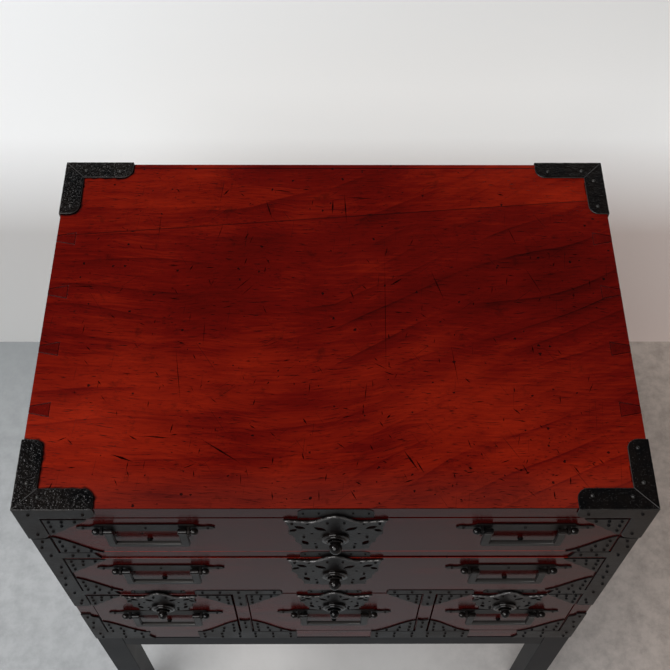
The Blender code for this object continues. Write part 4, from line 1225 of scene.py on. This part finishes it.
# Bail: flat bar bent square, with rounded lower corners
def makeBail(node, centre, axisY, axisZ):
    size = handles
    outer, inner = size["bailHalf"] * mm, (size["bailHalf"] - size["arm"]) * mm
    foot, bar = -size["drop"] * mm, (size["bar"] - size["drop"]) * mm
    head, clip, corner = size["head"] * mm, size["headClip"] * mm, size["corner"] * mm
    bend = bowed((outer - corner, foot), (outer, foot + corner), -size["cornerBulge"] * mm, steps=4)
    right = [(outer - corner, foot), *bend, (outer, head - clip), (outer - clip, head), (inner + clip, head),
             (inner, head - clip), (inner, bar)]
    outline = [(centre + x, axisZ + z) for x, z in right + handed(reversed(right), -1)]
    flat = cutSheet(f"{node}_bar", [outline], axisY + size["depth"] * mm / 2, size["depth"],
                    size["bailEase"])
    # Its upper side is paler: rubbed by fingers, and a painted highlight on faces that look up
    coatFaces(coat(flat, bailIron), rubbedAndLitIron, lambda face: face.normal.z > level)
    parts = [flat]
    eye, rim, play, outside = size["eye"], size["eyeRim"], size["play"], size["bailHalf"]
    inside, seat = outside - size["arm"] - play, outside + size["postWidth"] + 2 * play
    profile = [(0, inside), (eye - rim, inside), (eye, inside + rim), (eye, outside - rim),
               (eye - rim, outside), (size["pin"], outside), (size["pin"], seat)]
    profile += [(radius, seat + along) for radius, along in size["barrel"]]
    for side in (-1, 1):
        pin = turned(f"{node}_pin", profile, (side, 0, 0), (centre, axisY, axisZ), steps=24)
        parts.append(coat(pin, burnishedIron))
    settle(joinAs(f"{node}_forged", parts), bodyOf[node], "black_iron", node)


def makeHandle(name, label):
    size = handles
    plateNode, bailNode = f"{name}_{label}handle_plate", f"{name}_{label}bail"
    low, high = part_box(bailNode)
    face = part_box(f"{name}_drawer_front")[0].y
    centre = (low.x + high.x) / 2
    axisY, axisZ = face - size["axisReach"] * mm, low.z + size["drop"] * mm
    makeHandlePlate(plateNode, centre, face, axisY, axisZ)
    makeBail(bailNode, centre, axisY, axisZ)
    place = (centre, face, low.z + size["bar"] * mm / 2)
    stud = turned(f"{bailNode}_stud", size["stud"], (0, 1, 0), place, steps=16)
    settle(coat(stud, sheetFinish), bodyOf[plateNode], "black_iron")


for name in drawerNames:
    kind = "wide" if name in wideDrawers else "small"
    makeDrawerBox(name)
    makeCornerPlates(name, kind)
    makeLockPlate(name, kind)
    makeLockButton(name, kind)
    for label in ("left_", "right_") if kind == "wide" else ("",):
        makeHandle(name, label)
    print(name, "drawer ready")


# Camera: fitted to the corners of the chest in the photograph
cameraSetup = {"ahead": 381.87, "above": 935.29, "across": -8.23,
               "pitch": 58.588, "yaw": 0.809, "roll": 0.681, "lens": 57.66, "sensor": 36}


def makeCamera():
    setup = cameraSetup
    camera = linked("camera", bpy.data.cameras.new("camera"))
    camera.data.lens = setup["lens"]
    camera.data.sensor_width = setup["sensor"]
    turn = (Matrix.Rotation(math.radians(-setup["yaw"]), 4, "Z")
            @ Matrix.Rotation(math.radians(90 - setup["pitch"]), 4, "X")
            @ Matrix.Rotation(math.radians(setup["roll"]), 4, "Z"))
    place = Vector((setup["across"] * mm, frontY - setup["ahead"] * mm, chestTop + setup["above"] * mm))
    camera.matrix_world = Matrix.Translation(place) @ turn
    bpy.context.scene.camera = camera


# Studio: pale floor, low white wall close behind, daylight from the front left, pale band round the horizon
studio = {
    "size": 40000, "floor": ((0.30, "#a0a3a5"), (0.60, "#b5b8ba")), "floorGrain": 26, "floorRough": 0.7,
    # Painted shade: darker towards the wall
    "shade": "#7e8284", "shadeShare": 0.8,                 # darker towards the wall
    # Painted light: paler beneath the chest
    "under": "#d9d7d5", "underShare": 0.8, "underReach": (140, 360), "underFade": 50,  # paler beneath
    # Painted warm reflection of the red chest on the right
    "warm": ((0.35, "#a5978e"), (0.60, "#c2b3a9")), "warmReach": (100, 600),           # warmer on the right
    "wall": "#d2d2d0", "wallRough": 0.9, "wallBehind": 233, "wallHeight": 950, "glowHeights": (300, 950),
    # The wall's glow: painted light, paler at the top left, with a painted warm reflection of the chest low
    # on the right
    "glowWidth": 1400, "glowLeft": ((0.05, "#2c3034"), (0.4, "#b3b6b9"), (1.0, "#babdc1")),
    "glowRight": ((0.05, "#5c3f33"), (0.4, "#a6a6a6"), (1.0, "#5e5d5b")),
    "windowWatts": 24, "windowSize": (620, 520), "windowPlace": (-1900, -100, 2300),
    "daylight": 2.12, "daylightAngle": 50, "daylightFrom": (-0.42, -0.55, 0.75),
    "sky": "#eef0f2", "band": 0.35, "dome": 0.03, "bandRise": (0.12, 0.5),
}


def makeFloor(wallY):
    setup = studio
    floor = added(bpy.ops.mesh.primitive_plane_add, size=setup["size"] * mm)
    floor.name = "floor"
    material, add = newMaterial("paleConcrete")
    coords = add("TexCoord", output="Object")
    x, y, z = add("SeparateXYZ", (coords,)).node.outputs
    noise = add("TexNoise", {"Vector": coords, "Scale": perMetre(setup["floorGrain"]), "Detail": 8.0,
                             "Roughness": 0.7})
    # Painted shade towards the wall, painted light beneath the chest and a painted warm reflection of the
    # chest on the right
    shade = add("MapRange", (y, 0.0, wallY, 0.0, setup["shadeShare"]))
    wide = add("Math", (x,), operation="ABSOLUTE")
    under = add("MapRange", (wide, *(size * mm for size in setup["underReach"]), setup["underShare"], 0.0))
    behind = add("MapRange", (y, frontY, frontY + setup["underFade"] * mm))
    under = add("Math", (under, behind), operation="MULTIPLY")
    warm = add("MapRange", (x, *(size * mm for size in setup["warmReach"])))
    tint = add("ValToRGB", (noise,), stops=setup["floor"])
    for share, colour in ((shade, hexColour(setup["shade"])), (under, hexColour(setup["under"])),
                          (warm, add("ValToRGB", (noise,), stops=setup["warm"]))):
        tint = add("Mix", {0: share, 6: tint, 7: colour}, 2, data_type="RGBA")
    floor.data.materials.append(finished(material, {"Base Color": tint, "Roughness": setup["floorRough"]}))


def makeWall(wallY):
    setup = studio
    tall = setup["wallHeight"] * mm
    wall = added(bpy.ops.mesh.primitive_plane_add, size=1, location=(0, wallY, tall / 2),
                 rotation=(quarter, 0, 0))
    wall.name = "wall"
    wall.scale = (setup["size"] * mm, tall, 1)
    material, add = newMaterial("whiteWall")
    # Painted light: the wall glows paler towards its top left, dimmer towards the right and warm brown low
    # on the right, a painted reflection of the red chest; it glows to the eye and in mirrors only, so it
    # lights nothing more
    x, y, z = add("SeparateXYZ", (add("NewGeometry", output="Position"),)).node.outputs
    rise = add("MapRange", (z, *(height * mm for height in setup["glowHeights"])))
    edge = setup["glowWidth"] * mm / 2
    across = add("MapRange", (x, -edge, edge))
    left, right = (add("ValToRGB", (rise,), stops=setup[side]) for side in ("glowLeft", "glowRight"))
    glow = add("Mix", {0: across, 6: left, 7: right}, 2, data_type="RGBA")
    seen = add("LightPath", output="Is Camera Ray")
    path = seen.node.outputs
    for kind in ("Is Glossy Ray", "Is Transmission Ray"):
        seen = add("Math", (seen, path[kind]), operation="MAXIMUM")
    finished(material, {"Base Color": hexColour(setup["wall"]), "Roughness": setup["wallRough"],
                        "Emission Color": glow, "Emission Strength": seen})
    # The wall is clear from behind, so that it never hides the back of the chest
    tree = material.node_tree
    back = add("NewGeometry", output="Backfacing")
    mixed = add("MixShader", (back, tree.nodes["Principled BSDF"].outputs[0], add("BsdfTransparent")))
    tree.links.new(mixed, tree.nodes["Material Output"].inputs["Surface"])
    wall.data.materials.append(material)


def makeLight():
    setup = studio
    lamp = bpy.data.lights.new("window", "AREA")
    lamp.shape = "RECTANGLE"
    lamp.size, lamp.size_y = (side * mm for side in setup["windowSize"])
    lamp.energy = setup["windowWatts"]
    window = linked("window", lamp)
    window.location = [side * mm for side in setup["windowPlace"]]
    aim = Vector((0, middleY, chestTop)) - window.location
    window.rotation_euler = aim.to_track_quat("-Z", "Y").to_euler()
    lamp = bpy.data.lights.new("daylight", "SUN")
    lamp.energy = setup["daylight"]
    lamp.angle = math.radians(setup["daylightAngle"])
    daylight = linked("daylight", lamp)
    daylight.rotation_euler = Vector(setup["daylightFrom"]).to_track_quat("Z", "Y").to_euler()
    # The world is pale near the horizon and dim overhead
    world = bpy.data.worlds.new("studio")
    world.use_nodes = True
    tree = world.node_tree
    sky = addNode(tree, "TexCoord", output="Generated")
    rise = addNode(tree, "SeparateXYZ", (sky,), "Z")
    level = addNode(tree, "MapRange", (rise, *setup["bandRise"], setup["band"], setup["dome"]))
    setInputs(tree, tree.nodes["Background"], {"Color": hexColour(setup["sky"]), "Strength": level})
    bpy.context.scene.world = world
    bpy.context.scene.view_settings.view_transform = "Standard"


makeCamera()
wallY = topHigh.y + studio["wallBehind"] * mm
makeFloor(wallY)
makeWall(wallY)
makeLight()
print("camera and studio ready")

bpy.data.objects.remove(nailMaster)
